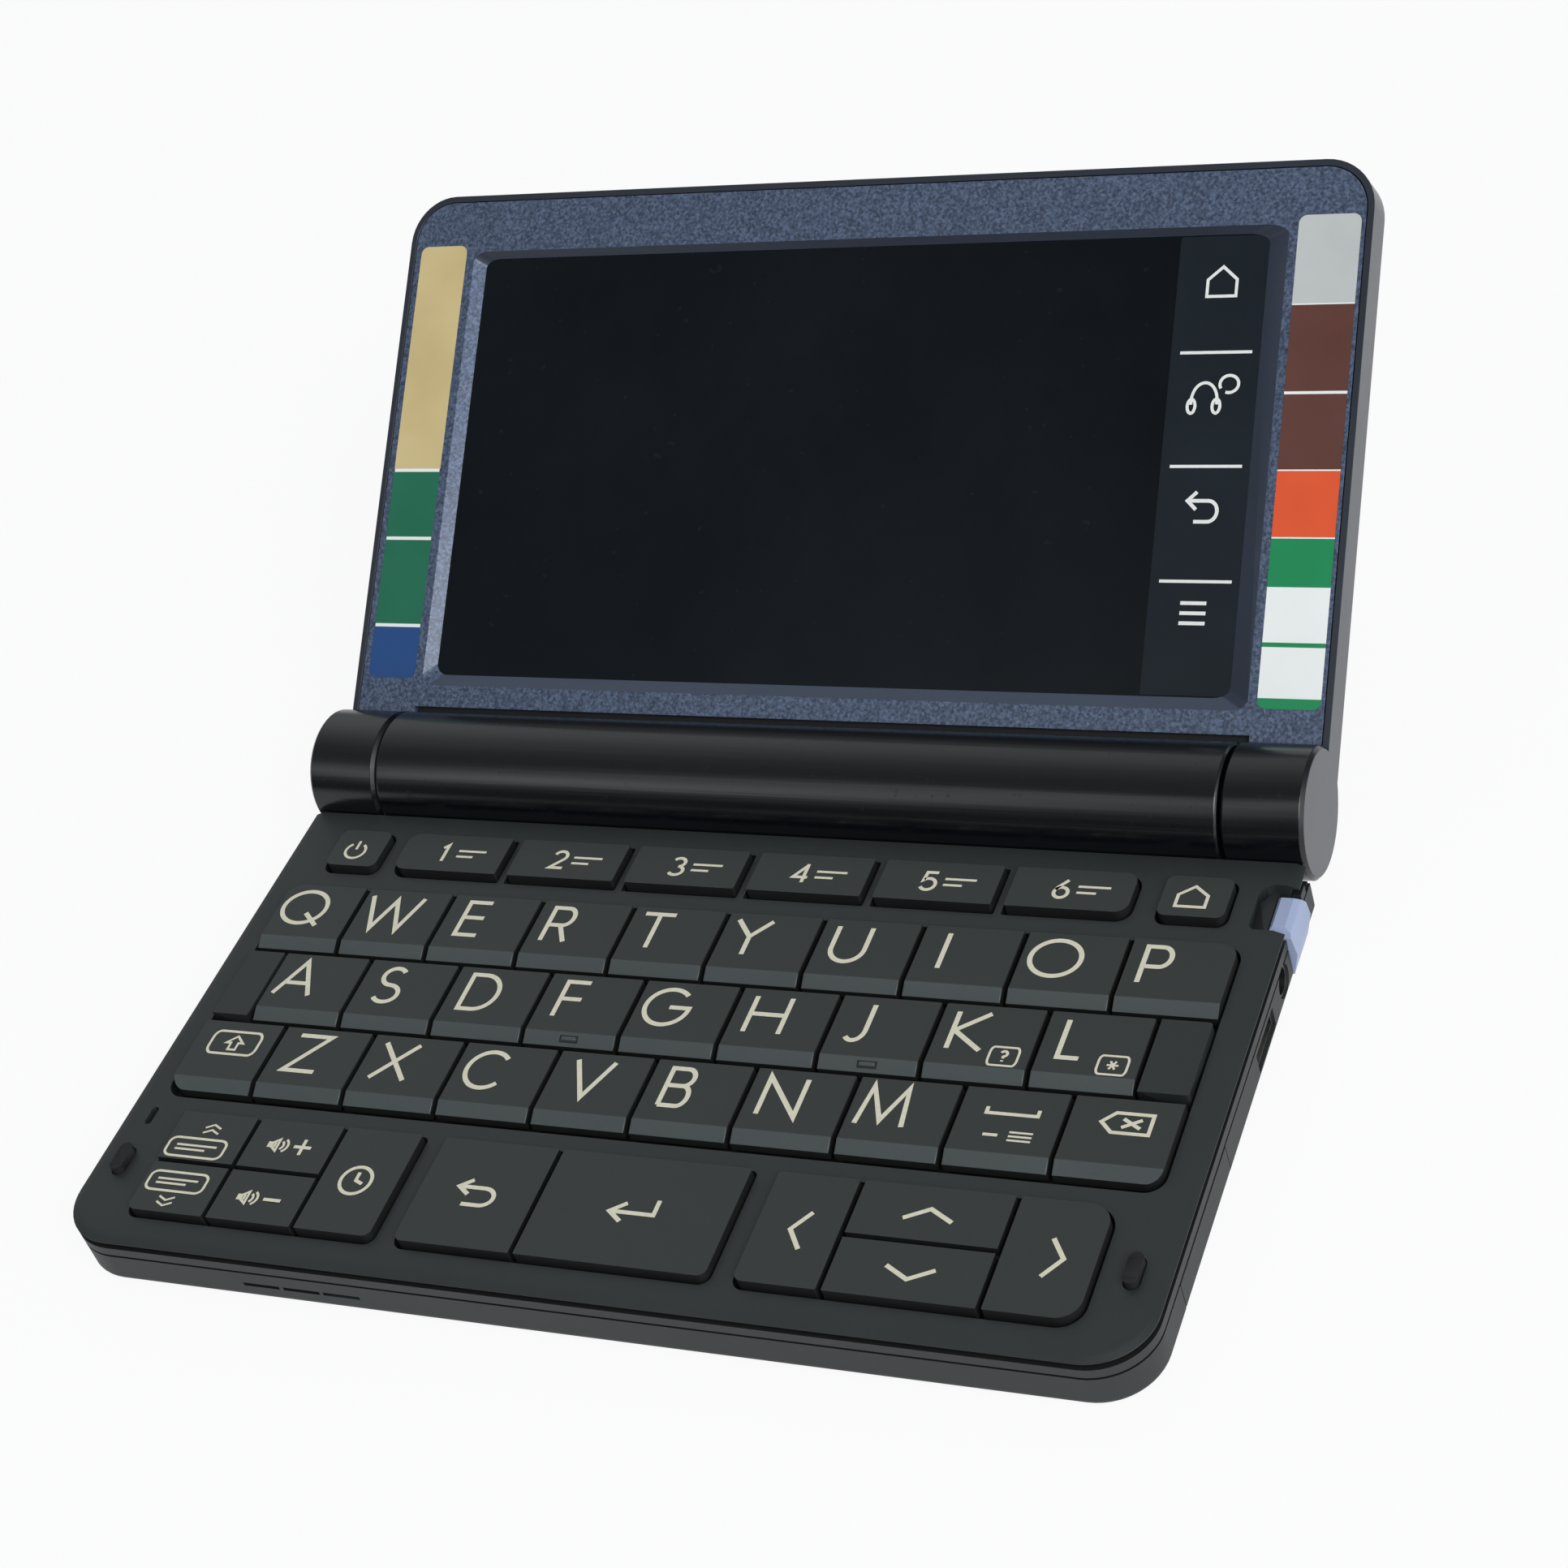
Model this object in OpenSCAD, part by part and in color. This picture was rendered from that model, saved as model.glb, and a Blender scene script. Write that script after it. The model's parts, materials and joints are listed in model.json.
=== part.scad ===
// Pocket electronic dictionary: a thin keyboard base, a round battery barrel along its rear
// edge, and a lid with a wide display that swings on the barrel. Millimetres, +Z up.
// X runs to the right, Y to the rear. Z = 0 is the flat underside of the base.
// Each key is guided by a stem in the deck under the key wells, hooks under that deck, and
// presses a dome of the rubber mat. Two-way keys rock on a keel in a groove of the deck.

/* [Base] */
// Overall width
body_w = 148; // [144:0.5:152]
// Depth from the front edge to the rear of the barrel
body_d = 97.5; // [96.5:0.1:99]
// Height of the keyboard face above the underside
case_h = 8.35; // [8.2:0.05:8.6]
// Radius of the two front corners
corner_r = 8; // [7:0.5:9]
// Radius of the lower edge of the bottom case
edge_r = 1.2; // [1.2:0.05:1.6]
// Wall and floor thickness of the bottom case
wall = 1.1; // [1:0.05:1.15]
// Height of the bottom case rim
rim_h = 6.65; // [6.4:0.05:6.8]
// Height of the dark seam groove between the cases
groove_h = 1; // [0.9:0.05:1.1]
// Depth of the seam groove
groove_in = 1.2; // [1.15:0.05:1.5]
// Thickness of the deck that guides the keys
deck_t = 0.9; // [0.7:0.05:1]
// Height of the deck's underside above the case underside
deck_z = 5.3; // [5.25:0.05:5.4]

/* [Barrel] */
// Outer diameter of the barrel
barrel_d = 17.5; // [17.3:0.1:18]
// Width of the two lid caps that turn at the ends of the barrel
cap_w = 11.3; // [11:0.1:12]
// Wall of the barrel round the cells
barrel_wall = 1.2; // [1.15:0.05:1.25]
// Length of the solid barrel ends beside the battery bore
plug_l = 9.2; // [8.8:0.1:9.8]
// Angle that the battery cover spans
cover_arc = 150; // [148:1:154]
// Clearance round the cells
cell_fit = 0.45; // [0.4:0.05:0.55]
// Hinge pin diameter
pin_d = 4; // [3:0.1:5]
// Hinge pin length
pin_l = 14; // [12:0.5:15]

/* [Keys] */
// Rise of the key tops above the case
key_rise = 1; // [0.8:0.05:1.1]
// Thickness of a key cap
cap_t = 2.2; // [2.1:0.05:2.3]
// Key travel
travel = 0.8; // [0.6:0.05:0.85]
// Pitch of the letter rows
pitch_y = 13.26; // [13.1:0.02:13.3]
// Depth of a letter key
cap_d = 11.85; // [11.4:0.05:12]
// Gap between neighbouring keys
key_gap = 0.7; // [0.5:0.05:0.9]
// Depth of the sloping front of a letter key
slope_run = 1.8; // [1.2:0.1:2.2]
// Drop of the sloping front
slope_drop = 0.9; // [0.5:0.05:0.95]
// Depth of a top row key
top_d = 7.1; // [6.8:0.05:7.2]
// Gap between the wide keys
wide_gap = 1.8; // [1.6:0.1:2]
// Depth of a bottom group key
low_d = 16.8; // [16.4:0.1:16.9]
// Corner radius of the letter block
block_r = 2.2; // [1.5:0.1:2.6]
// Front corner radius of the bottom groups
low_r = 1.2; // [0.8:0.1:1.6]
// Corner radius at the right end of the bottom groups
right_r = 3; // [2.4:0.1:3.4]
// Stem diameter of a large key
stem_d = 4.4; // [4:0.1:4.8]
// Stem diameter of a top row key
thin_stem_d = 2.1; // [1.8:0.05:2.2]
// Sideways reach of the hook at the foot of a stem
hook = 0.25; // [0.2:0.05:0.3]
// Radial clearance of a stem in the deck
stem_fit = 0.05; // [0.03:0.01:0.08]

/* [Lid] */
// Lid length from the hinge axis
lid_l = 88; // [86:0.1:88.4]
// Lid thickness
lid_t = 6.6; // [6:0.05:7]
// Distance of the display face below the hinge axis when the lid is shut
face_off = 1.05; // [0.95:0.05:1.1]
// Radius of the two outer lid corners
lid_r = 7; // [6:0.5:8]
// Angle of the display face above the table behind the barrel, as photographed
lid_rest = 37.76; // [30:0.01:60]
// Width of the display window
window_w = 121.8; // [118:0.2:122]
// Length of the display window
window_l = 62.9; // [60:0.1:63.5]
// Distance of the window from the hinge axis
window_v = 14.9; // [14.5:0.1:15.5]
// Width of the bevel round the window
bevel = 1.8; // [1:0.1:2.2]
// Thickness of the bezel
bezel_t = 1; // [0.8:0.05:1.2]

/* [Right side] */
// Width of the memory card door
door_w = 21; // [19:0.5:21]
// Bore of the earphone jack
jack_d = 3.6; // [3.5:0.05:3.6]
// Depth of the earphone jack
jack_l = 11; // [10:0.5:12]
// Width of the USB opening
usb_w = 7.6; // [7:0.1:8]
// Stylus diameter
pen_d = 3.8; // [3.4:0.1:3.8]
// Length of the whole stylus
pen_l = 95; // [80:1:98]
// Radial clearance of the stylus in its silo
pen_fit = 0.1; // [0.05:0.01:0.1]

/* [Hidden] */
$fn = 64;
half_w = body_w / 2;
barrel_l = body_w - 2 * cap_w;
bore_d = barrel_d - 2 * barrel_wall;
cell_d = bore_d - 2 * cell_fit;
bore_l = barrel_l - 2 * plug_l;
cell_end = 4.3;
cell_l = bore_l / 2 - cell_end;
axis_y = body_d / 2 - barrel_d / 2;
axis_z = barrel_d / 2;
front_y = -body_d / 2;
rear_y = axis_y - barrel_d / 2 - 0.2;
deck_top = deck_z + deck_t;
plate_z = rim_h + groove_h;
key_top = case_h + key_rise;
cap_z = key_top - cap_t;
saddle_z = 7.45;
saddle_run = 5.2;
seam_z = [4.95, 5.3];
seam_deep = 0.3;
chamfer_w = 1.4;
chamfer_h = 0.55;
bumper_r = 0.9;
bumper_run = 1.4;
overlap = 0.4;
fit = 0.15;
tiny = 0.05;

// Letter block: a window with equal margins and three rows of caps
block_x = half_w - 4.15;
pitch_x = (2 * block_x + key_gap) / 10;
block_rear = rear_y - 15.2;
block_front = block_rear - 2 * pitch_y - cap_d - 1.7;
row_shift = -0.55;
function row_rear(row) = block_rear - 0.5 - row * pitch_y;
function gap_x(row, i) = row_shift + (i - (row == 1 ? 4.5 : 4)) * pitch_x;
side_fit = 0.4;

// Top row and bottom groups: key edges, from left to right
top_rear = rear_y - 4.3;
top_front = top_rear - top_d;
power_gap = 7.6;
power_w = 8.2;
home_gap = 7.8;
home_w = 8.9;
power_x = [power_gap - half_w, power_gap + power_w - half_w];
home_x = [half_w - home_gap - home_w, half_w - home_gap];
wide_pitch = (home_x[0] - power_x[1] - 5.1) / 6;
wide_w = wide_pitch - wide_gap;
low_rear = block_front - 3;
low_front = low_rear - low_d;
low_mid = (low_rear + low_front) / 2;
rear_r = 0.4;
inner_r = 0.2;
low_margin = 8.7;
low_marks = [1.1, 13, 26.3, 37.7, 41.2, 57.9, 84.2, 87.8, 98.9, 118.8, 130.6];
low_share = 2 * (half_w - low_margin) / low_marks[10];
function low_edges(i) = [
    low_margin - half_w + low_share * low_marks[i],
    low_margin - half_w + low_share * low_marks[i + 1]
];
entry_x = low_edges(0);
volume_x = low_edges(1);
history_x = low_edges(2);
back_x = low_edges(4);
enter_x = low_edges(5);
left_x = low_edges(7);
updown_x = low_edges(8);
right_x = low_edges(9);
function wide_left(i) = 0.1 + (i - 3) * wide_pitch;

// Board, mat and domes under the deck
board_z = 2.7;
board_t = 0.7;
mat_t = 0.25;
dome_h = 0.25;
dome_d = 5;
mat_z = board_z + board_t;
dome_z = mat_z + mat_t;
stem_z = dome_z + dome_h + travel + 0.1;
hook_t = 0.35;
board_front = low_mid - 7.8;
board_rear = top_front + 2.5;

// Two-way keys
keel_r = 0.8;
keel_z = deck_top + 0.3;
foot_y = 4.5;
foot_d = 2.6;
split_h = 1.4;

// Stylus, jack, socket and card slot on the right side
pen_y = rear_y - 6.2;
pen_z = 3.15;
head_t = 2.4;
head_bulge = 0.9;
scoop_z = 6.9;
scoop_w = 4.7;
head_y = [rear_y - 11.6, rear_y - 4.3];
head_z = [0.35, 7.85];
jack_y = block_rear - 0.4;
jack_z = 3.15;
jack_box = 5;
usb_y = block_rear - 10;
usb_z = 2.75;
usb_h = 2.2;
usb_deep = 5;
metal_t = 0.3;
door_y = block_rear - 39.6;
door_z = [1, 4.85];
door_pin_r = 0.3;
door_x = half_w - 0.55;
door_hinge_z = 0.85;
door_relief = 0.4;
card_l = 14.8;
card_w = 11.2;
card_t = 1.6;
card_back = 1.5;
card_gap = 3.2;
slot_x = [27.6 - half_w, 33.6 - half_w, 39.5 - half_w];
slot_w = 5.4;
slot_z = 2.75;

// Lid levels along its own face normal, and lengths up the lid from the axis
face_n = -face_off;
back_n = face_n - lid_t;
glass_n = face_n - bezel_t;
glass_t = 0.8;
lid_wall = 1.1;
lid_rim = 0.9;
clear_r = barrel_d / 2 + 0.35;
cap_in = barrel_l / 2 + 0.3;
pocket_v = 10.6;
bezel_v = 9.9;
lid_edge = 1.2;

charcoal = [0.20, 0.21, 0.21];
key_grey = [0.18, 0.19, 0.19];
navy = [0.10, 0.12, 0.16];
blue_grey = [0.24, 0.30, 0.44];
lavender = [0.59, 0.63, 0.84];

// General shapes

// Extrudes a (Y, Z) profile along X from x0 to x1
module along_x(x0, x1) {
    translate([x0, 0, 0])
        rotate([90, 0, 90])
            linear_extrude(x1 - x0)
                children();
}

// Extrudes an (X, Z) profile along Y from y0 to y1
module along_y(y0, y1) {
    translate([0, y1, 0])
        rotate([90, 0, 0])
            linear_extrude(y1 - y0)
                children();
}

// Cylinder along X
module rod_x(x0, x1, d, y = 0, z = 0) {
    translate([x0, y, z])
        rotate([0, 90, 0])
            cylinder(h = x1 - x0, d = d);
}

// Box between two corners
module block(a, b) {
    translate(a)
        cube(b - a);
}

// Rectangle with its own radius at each corner: front left, front right, rear right, rear left
module plate2d(x, y, r = [0, 0, 0, 0]) {
    difference() {
        translate([x[0], y[0]])
            square([x[1] - x[0], y[1] - y[0]]);
        corner_cut([x[0], y[0]], r[0], 0);
        corner_cut([x[1], y[0]], r[1], 90);
        corner_cut([x[1], y[1]], r[2], 180);
        corner_cut([x[0], y[1]], r[3], 270);
    }
}

// What a round corner takes off a square one
module corner_cut(at, r, turn) {
    if (r > 0)
        translate(at)
            rotate(turn)
                difference() {
                    translate([-tiny, -tiny])
                        square(r + tiny);
                    translate([r, r])
                        circle(r);
                }
}

// Rounded plate between two heights
module plate(x, y, z, r = [0, 0, 0, 0]) {
    translate([0, 0, z[0]])
        linear_extrude(z[1] - z[0])
            plate2d(x, y, r);
}

// Slab with two round corners at its front, whose whole edge follows one profile. The profile
// is drawn outwards from the corner centres, and the slab's flat middle lies between z0 and z1.
module edged_slab(hw, y0, y1, r, z0, z1) {
    x = hw - r;
    y = y0 + r;
    for (side = [0, 1])
        mirror([side, 0, 0]) {
            translate([x, y, 0])
                rotate([0, 0, 270])
                    rotate_extrude(angle = 90)
                        children();
            translate([x, y1, 0])
                rotate([90, 0, 0])
                    linear_extrude(y1 - y)
                        children();
        }
    translate([x, y, 0])
        rotate([90, 0, -90])
            linear_extrude(2 * x)
                children();
    block([-x, y, z0], [x, y1, z1]);
}

// Base profiles

// Edge of the bottom case: upright rim with a fine groove, curving under to the flat bottom
module bottom_profile(z0 = 0, z1 = rim_h) {
    cx = corner_r - edge_r;
    intersection() {
        union() {
            translate([cx, edge_r])
                circle(edge_r);
            square([cx, edge_r]);
            translate([0, edge_r])
                square([corner_r, z1 - edge_r]);
        }
        translate([0, z0])
            square([corner_r, z1 - z0]);
    }
}

// Edge of the space inside the bottom case
module inner_profile() {
    translate([0, wall])
        square([corner_r - wall, rim_h + 1 - wall]);
}

// Edge of the top case: thin overhanging plate with a chamfer, over an inset skirt
module top_profile() {
    s = corner_r - groove_in;
    polygon([
        [0, deck_z], [s, deck_z], [s, plate_z], [corner_r, plate_z],
        [corner_r, case_h - chamfer_h], [corner_r - chamfer_w, case_h], [0, case_h]
    ]);
}

// Key layout

// Runs its children at every guide hole: large stems first, then the thin ones
module at_large_stems() {
    for (row = [0:2])
        for (i = [0:(row == 1 ? 8 : 9)])
            translate([letter_mid(row, i), letter_mid_y(row)])
                children();
    for (x = [history_x, back_x, enter_x, left_x, right_x])
        for (s = stem_offsets(x[1] - x[0]))
            translate([(x[0] + x[1]) / 2 + s, low_mid])
                children();
}

module at_thin_stems() {
    for (x = [power_x, home_x, for (i = [0:5]) [wide_left(i), wide_left(i) + wide_w]])
        for (s = stem_offsets(x[1] - x[0]))
            translate([(x[0] + x[1]) / 2 + s, top_front + 1.25])
                children();
}

module at_rocker_feet() {
    for (x = [entry_x, volume_x, updown_x])
        for (side = [-1, 1])
            translate([(x[0] + x[1]) / 2, low_mid + side * foot_y])
                children();
}

// Long keys stand on two stems
function stem_offsets(w) = w > 15 ? [-0.28 * w, 0.28 * w] : [0];

// Left and right edges of a letter key; the outer ones stop at the window
function letter_x(row, i) =
    row == 1
        ? [gap_x(1, i) + key_gap / 2, gap_x(1, i + 1) - key_gap / 2]
        : [
            i == 0 ? -block_x + side_fit : gap_x(row, i - 1) + key_gap / 2,
            i == 9 ? block_x - side_fit : gap_x(row, i) - key_gap / 2
        ];
function letter_mid(row, i) = (letter_x(row, i)[0] + letter_x(row, i)[1]) / 2;
function letter_mid_y(row) = row_rear(row) - cap_d / 2;

// Outlines of the key wells, each grown from its keys by the side clearance
module wells2d() {
    block_well_r = block_r + side_fit;
    plate2d(
        [-block_x, block_x], [block_front, block_rear],
        [block_well_r, block_well_r, block_well_r, block_well_r]
    );
    top_well(power_x, [1.6, 1.6, 1.6, 1.6]);
    top_well(home_x, [1.6, 1.6, 1.6, 1.6]);
    for (i = [0:5])
        top_well([wide_left(i), wide_left(i) + wide_w], wide_corners(i, side_fit));
    low_well([entry_x[0], history_x[1]], low_r, rear_r);
    low_well([back_x[0], enter_x[1]], low_r, rear_r);
    low_well([left_x[0], right_x[1]], right_r, right_r);
}

module top_well(x, r) {
    plate2d([x[0] - side_fit, x[1] + side_fit], [top_front - 2 * side_fit, top_rear + side_fit], r);
}

module low_well(x, front_right, rear_right) {
    plate2d(
        [x[0] - side_fit, x[1] + side_fit], [low_front - 0.6, low_rear + side_fit],
        [low_r + side_fit, front_right + side_fit, rear_right + side_fit, rear_r + side_fit]
    );
}

// Only the outer ends of the row of wide keys are well rounded
function wide_corners(i, grow) = [
    i == 0 ? 1.8 + grow : 0.3, i == 5 ? 1.8 + grow : 0.3,
    i == 5 ? 1.8 + grow : 0.3, i == 0 ? 1.8 + grow : 0.3
];

// Base

module base_top_case() {
    color(charcoal) {
        difference() {
            edged_slab(half_w, front_y, rear_y, corner_r, deck_z, case_h)
                top_profile();
            translate([0, 0, deck_top])
                linear_extrude(case_h)
                    wells2d();
            stem_holes();
            rocker_seats();
            microphone_hole();
            bumper_pockets();
            stylus_notch();
        }
        filler_caps();
    }
}

// Guide holes for the stems through the deck
module stem_holes() {
    z = deck_z - overlap;
    translate([0, 0, z]) {
        at_large_stems()
            cylinder(h = deck_t + 2 * overlap, d = stem_d + 2 * stem_fit);
        at_thin_stems()
            cylinder(h = deck_t + 2 * overlap, d = thin_stem_d + 2 * stem_fit);
        at_rocker_feet()
            cylinder(h = deck_t + 2 * overlap, d = foot_d + 1);
    }
}

// Half-round grooves in which the two-way keys rock
module rocker_seats() {
    for (x = [entry_x, volume_x, updown_x])
        rod_x(x[0] + 1, x[1] - 1, 2 * (keel_r + stem_fit), low_mid, keel_z);
}

module microphone_hole() {
    x = -half_w + 4.2;
    y = block_front - 3.6;
    for (s = [-1, 1])
        translate([x, y + s, deck_z - overlap])
            cylinder(h = case_h, d = 1);
    block([x - 0.5, y - 1, deck_z - overlap], [x + 0.5, y + 1, case_h + overlap]);
}

// Shallow pockets that hold the two bumpers under the lid
module bumper_pockets() {
    for (side = [-1, 1])
        bumper(side, fit, case_h - 0.6, case_h + overlap);
}

module bumper(side, grow, z0, z1) {
    w = bumper_r + grow;
    x = side * (half_w - 4.3);
    y = low_mid - 0.2;
    for (s = [-1, 1])
        translate([x, y + s * bumper_run, z0])
            cylinder(h = z1 - z0, r = w);
    block([x - w, y - bumper_run, z0], [x + w, y + bumper_run, z1]);
}

// Opening over the stylus head, and a shallow scoop for a fingernail beside it
module stylus_notch() {
    y = [head_y[0] - 0.4, head_y[1] + 0.3];
    plate([half_w - head_t - 0.3, half_w + 2], y, [-1, case_h + 1]);
    plate([half_w - scoop_w, half_w + 1], y, [scoop_z, case_h + 1], [1, 0, 0, 2]);
}

// Fixed blank caps at both ends of the middle row
module filler_caps() {
    y1 = row_rear(1);
    z = [deck_top - overlap, key_top];
    plate([-block_x + side_fit, gap_x(1, 0) - fit], [y1 - cap_d, y1], z);
    plate([gap_x(1, 9) + key_gap / 2, block_x - side_fit], [y1 - cap_d, y1], z, [0, 0.5, 0.5, 0]);
}

module base_bottom_case() {
    color(charcoal)
        difference() {
            union() {
                bottom_shell();
                stylus_silo();
                barrel_saddles();
                screw_bosses();
            }
            rim_groove();
            stylus_bore();
            right_side_openings();
            speaker_slots();
            foot_pockets();
        }
}

module bottom_shell() {
    difference() {
        edged_slab(half_w, front_y, rear_y, corner_r, 0, rim_h)
            bottom_profile();
        edged_slab(half_w, front_y, rear_y - wall, corner_r, wall, rim_h + 1)
            inner_profile();
        block([-half_w - 1, rear_y - wall - 1, deck_z], [half_w + 1, rear_y + 1, rim_h + 1]);
    }
}

// Fine groove that runs round the rim
module rim_groove() {
    r = corner_r - seam_deep;
    difference() {
        block([-half_w - 1, front_y - 1, seam_z[0]], [half_w + 1, rear_y + 1, seam_z[1]]);
        plate(
            [-half_w + seam_deep, half_w - seam_deep], [front_y + seam_deep, rear_y + 2],
            [seam_z[0] - 1, seam_z[1] + 1], [r, r, 0, 0]
        );
    }
}

// Block along the rear wall that sheathes the stylus, closed beside the finger notch
module stylus_silo() {
    x0 = half_w - pen_l - 3;
    x1 = half_w - head_t - 0.3;
    block([x0, board_rear + 0.1, wall - tiny], [x1, rear_y - tiny, deck_z]);
    block([x1 - 2, head_y[0] - 1.2, wall - tiny], [x1, rear_y - tiny, deck_z]);
    block([x1 - tiny, head_y[0] - 1.2, wall - tiny], [half_w - wall + tiny, head_y[0] - 0.3, deck_z]);
    block([x1 - tiny, head_y[1] + 0.3, wall - tiny], [half_w - wall + tiny, rear_y - tiny, deck_z]);
}

module stylus_bore() {
    rod_x(half_w - pen_l - 0.3, half_w + 1, pen_d + 2 * pen_fit, pen_y, pen_z);
    block([half_w - head_t - 0.3, head_y[0] - 0.3, -1], [half_w + 2, head_y[1] + 0.3, case_h]);
}

// Cradles that carry the solid ends of the barrel
module barrel_saddles() {
    for (side = [0, 1])
        mirror([side, 0, 0])
            along_x(bore_l / 2 + 0.5, barrel_l / 2 - 0.2)
                difference() {
                    union() {
                        translate([rear_y - wall, 0])
                            square([wall + saddle_run, deck_z - tiny]);
                        translate([rear_y + tiny, 0])
                            square([saddle_run - tiny, saddle_z]);
                    }
                    translate([axis_y, axis_z])
                        circle(barrel_d / 2 + tiny);
                }
}

module screw_bosses() {
    for (p = boss_points())
        translate([p[0], p[1], wall - tiny])
            cylinder(h = deck_z - wall, d = 4);
}

function boss_points() = [
    for (x = [-half_w + 6.2, 2, half_w - 6.2]) [x, board_front - 2.3],
    for (x = [-half_w + 30, half_w - 31]) [x, block_front - 1.5],
    [-half_w + 8, board_rear + 3.6]
];

module right_side_openings() {
    rod_x(half_w - wall - tiny, half_w + 1, jack_d + 0.8, jack_y, jack_z);
    block([half_w - 2 * wall - 4, usb_y - 4.1, usb_z - 1.5], [half_w + 1, usb_y + 4.1, usb_z + 1.5]);
    block([half_w - 6, door_y - door_w / 2, door_z[0] - 0.1], [half_w + 1, door_y + door_w / 2, door_z[1] + 0.1]);
    block(
        [door_x - door_relief, door_y - door_w / 2, door_hinge_z - door_relief],
        [half_w + 1, door_y + door_w / 2, door_z[0] + tiny]
    );
    translate([door_x, door_y, door_hinge_z])
        rotate([90, 0, 0])
            cylinder(h = door_w + 1.8, r = door_pin_r + tiny, center = true);
}

module speaker_slots() {
    for (x = slot_x)
        block([x, front_y - 1, slot_z - 0.28], [x + slot_w, front_y + 2 * wall, slot_z + 0.28]);
}

module foot_pockets() {
    at_feet()
        translate([0, 0, -overlap])
            cylinder(h = 2 * overlap, d = 8 + 2 * tiny);
}

module at_feet() {
    for (x = [-1, 1])
        for (y = [front_y + 9, rear_y - 16])
            translate([x * (half_w - 16), y, 0])
                children();
}

// Barrel

// Ring sector about the hinge axis, from angle a over the given arc, drawn with X along
module ring_x(x0, x1, r0, r1, a, arc) {
    translate([x0, axis_y, axis_z])
        rotate([90, 0, 90])
            rotate([0, 0, a])
                rotate_extrude(angle = arc)
                    translate([r0, 0])
                        square([r1 - r0, x1 - x0]);
}

// Solid of revolution about the hinge axis with a small chamfer at both ends
module turned_x(x0, x1, r, c) {
    translate([x0, axis_y, axis_z])
        rotate([90, 0, 90])
            rotate_extrude()
                polygon([[0, 0], [r - c, 0], [r, c], [r, x1 - x0 - c], [r - c, x1 - x0], [0, x1 - x0]]);
}

cover_a = -90 - cover_arc / 2;
cover_l = bore_l - 1.6;
rib_pitch = 3;
rib_w = 1;
rib_rise = 0.2;
rib_a = -125;
rib_arc = 25;

module hinge_barrel() {
    color(navy)
        difference() {
            turned_x(-barrel_l / 2, barrel_l / 2, barrel_d / 2, 0.3);
            rod_x(-bore_l / 2, bore_l / 2, bore_d, axis_y, axis_z);
            ring_x(
                -cover_l / 2 - fit, cover_l / 2 + fit, bore_d / 2 - 1, barrel_d / 2 + 1,
                cover_a - 1, cover_arc + 2
            );
            for (side = [0, 1])
                mirror([side, 0, 0])
                    rod_x(barrel_l / 2 - pin_l / 2, barrel_l / 2 + 1, pin_d, axis_y, axis_z);
        }
}

// Curved cover under the cells, with three grip ribs
module battery_cover() {
    color(charcoal) {
        ring_x(-cover_l / 2, cover_l / 2, bore_d / 2, barrel_d / 2, cover_a, cover_arc);
        for (i = [-1:1])
            ring_x(
                i * rib_pitch - rib_w / 2, i * rib_pitch + rib_w / 2,
                barrel_d / 2 - tiny, barrel_d / 2 + rib_rise, rib_a, rib_arc
            );
    }
}

module battery_cells() {
    color([0.75, 0.72, 0.66])
        for (x = [-cell_l - 1.2, 1.2]) {
            rod_x(x, x + cell_l, cell_d, axis_y, axis_z);
            rod_x(x + cell_l - tiny, x + cell_l + 1.1, 5.5, axis_y, axis_z);
        }
}

module hinge_pins() {
    color([0.7, 0.7, 0.72])
        for (side = [0, 1])
            mirror([side, 0, 0])
                rod_x(barrel_l / 2 - pin_l / 2, barrel_l / 2 + pin_l / 2, pin_d, axis_y, axis_z);
}

// Inside the base

module circuit_board() {
    color([0.10, 0.32, 0.20])
        difference() {
            plate(
                [-half_w + 2, half_w - 2], [board_front, board_rear],
                [board_z, board_z + board_t], [4, 4, 0, 0]
            );
            board_cuts(board_z);
        }
    color([0.7, 0.7, 0.72]) {
        earphone_jack();
        usb_socket();
        card_socket();
        battery_contacts();
    }
    color([0.12, 0.12, 0.13]) {
        speaker();
        block([-12, -8, wall + 0.3], [4, 8, board_z]);
        block([-half_w + 3, block_front - 5.4, mat_z], [-half_w + 5.4, block_front - 1.8, deck_z - 0.2]);
    }
}

// Bar-shaped speaker behind the slots
module speaker() {
    block(
        [slot_x[0] - 1.2, front_y + wall + 0.3, wall + tiny],
        [slot_x[2] + slot_w + 1.2, board_front - 0.2, deck_z - 0.3]
    );
}

// Notches for the jack, the USB socket, the finger notch wall and the screw bosses
module board_cuts(z) {
    x = half_w - jack_l - 1.4;
    block([x - fit, jack_y - jack_box / 2 - fit, z - 1], [half_w, jack_y + jack_box / 2 + fit, z + 2]);
    block([half_w - 5.6, usb_y - 4.3, z - 1], [half_w, usb_y + 4.3, z + 2]);
    block([half_w - 5.6, head_y[0] - 1.4, z - 1], [half_w, board_rear + 1, z + 2]);
    for (p = boss_points())
        translate([p[0], p[1], z - 1])
            cylinder(h = 3, d = 4 + 4 * fit);
}

module earphone_jack() {
    x1 = half_w - 0.4;
    difference() {
        union() {
            block(
                [x1 - jack_l - 1, jack_y - jack_box / 2, wall],
                [half_w - wall - 0.2, jack_y + jack_box / 2, deck_z - 0.1]
            );
            rod_x(half_w - wall - 1, x1, jack_d + 0.6, jack_y, jack_z);
        }
        rod_x(x1 - jack_l, half_w + 1, jack_d, jack_y, jack_z);
    }
}

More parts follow.
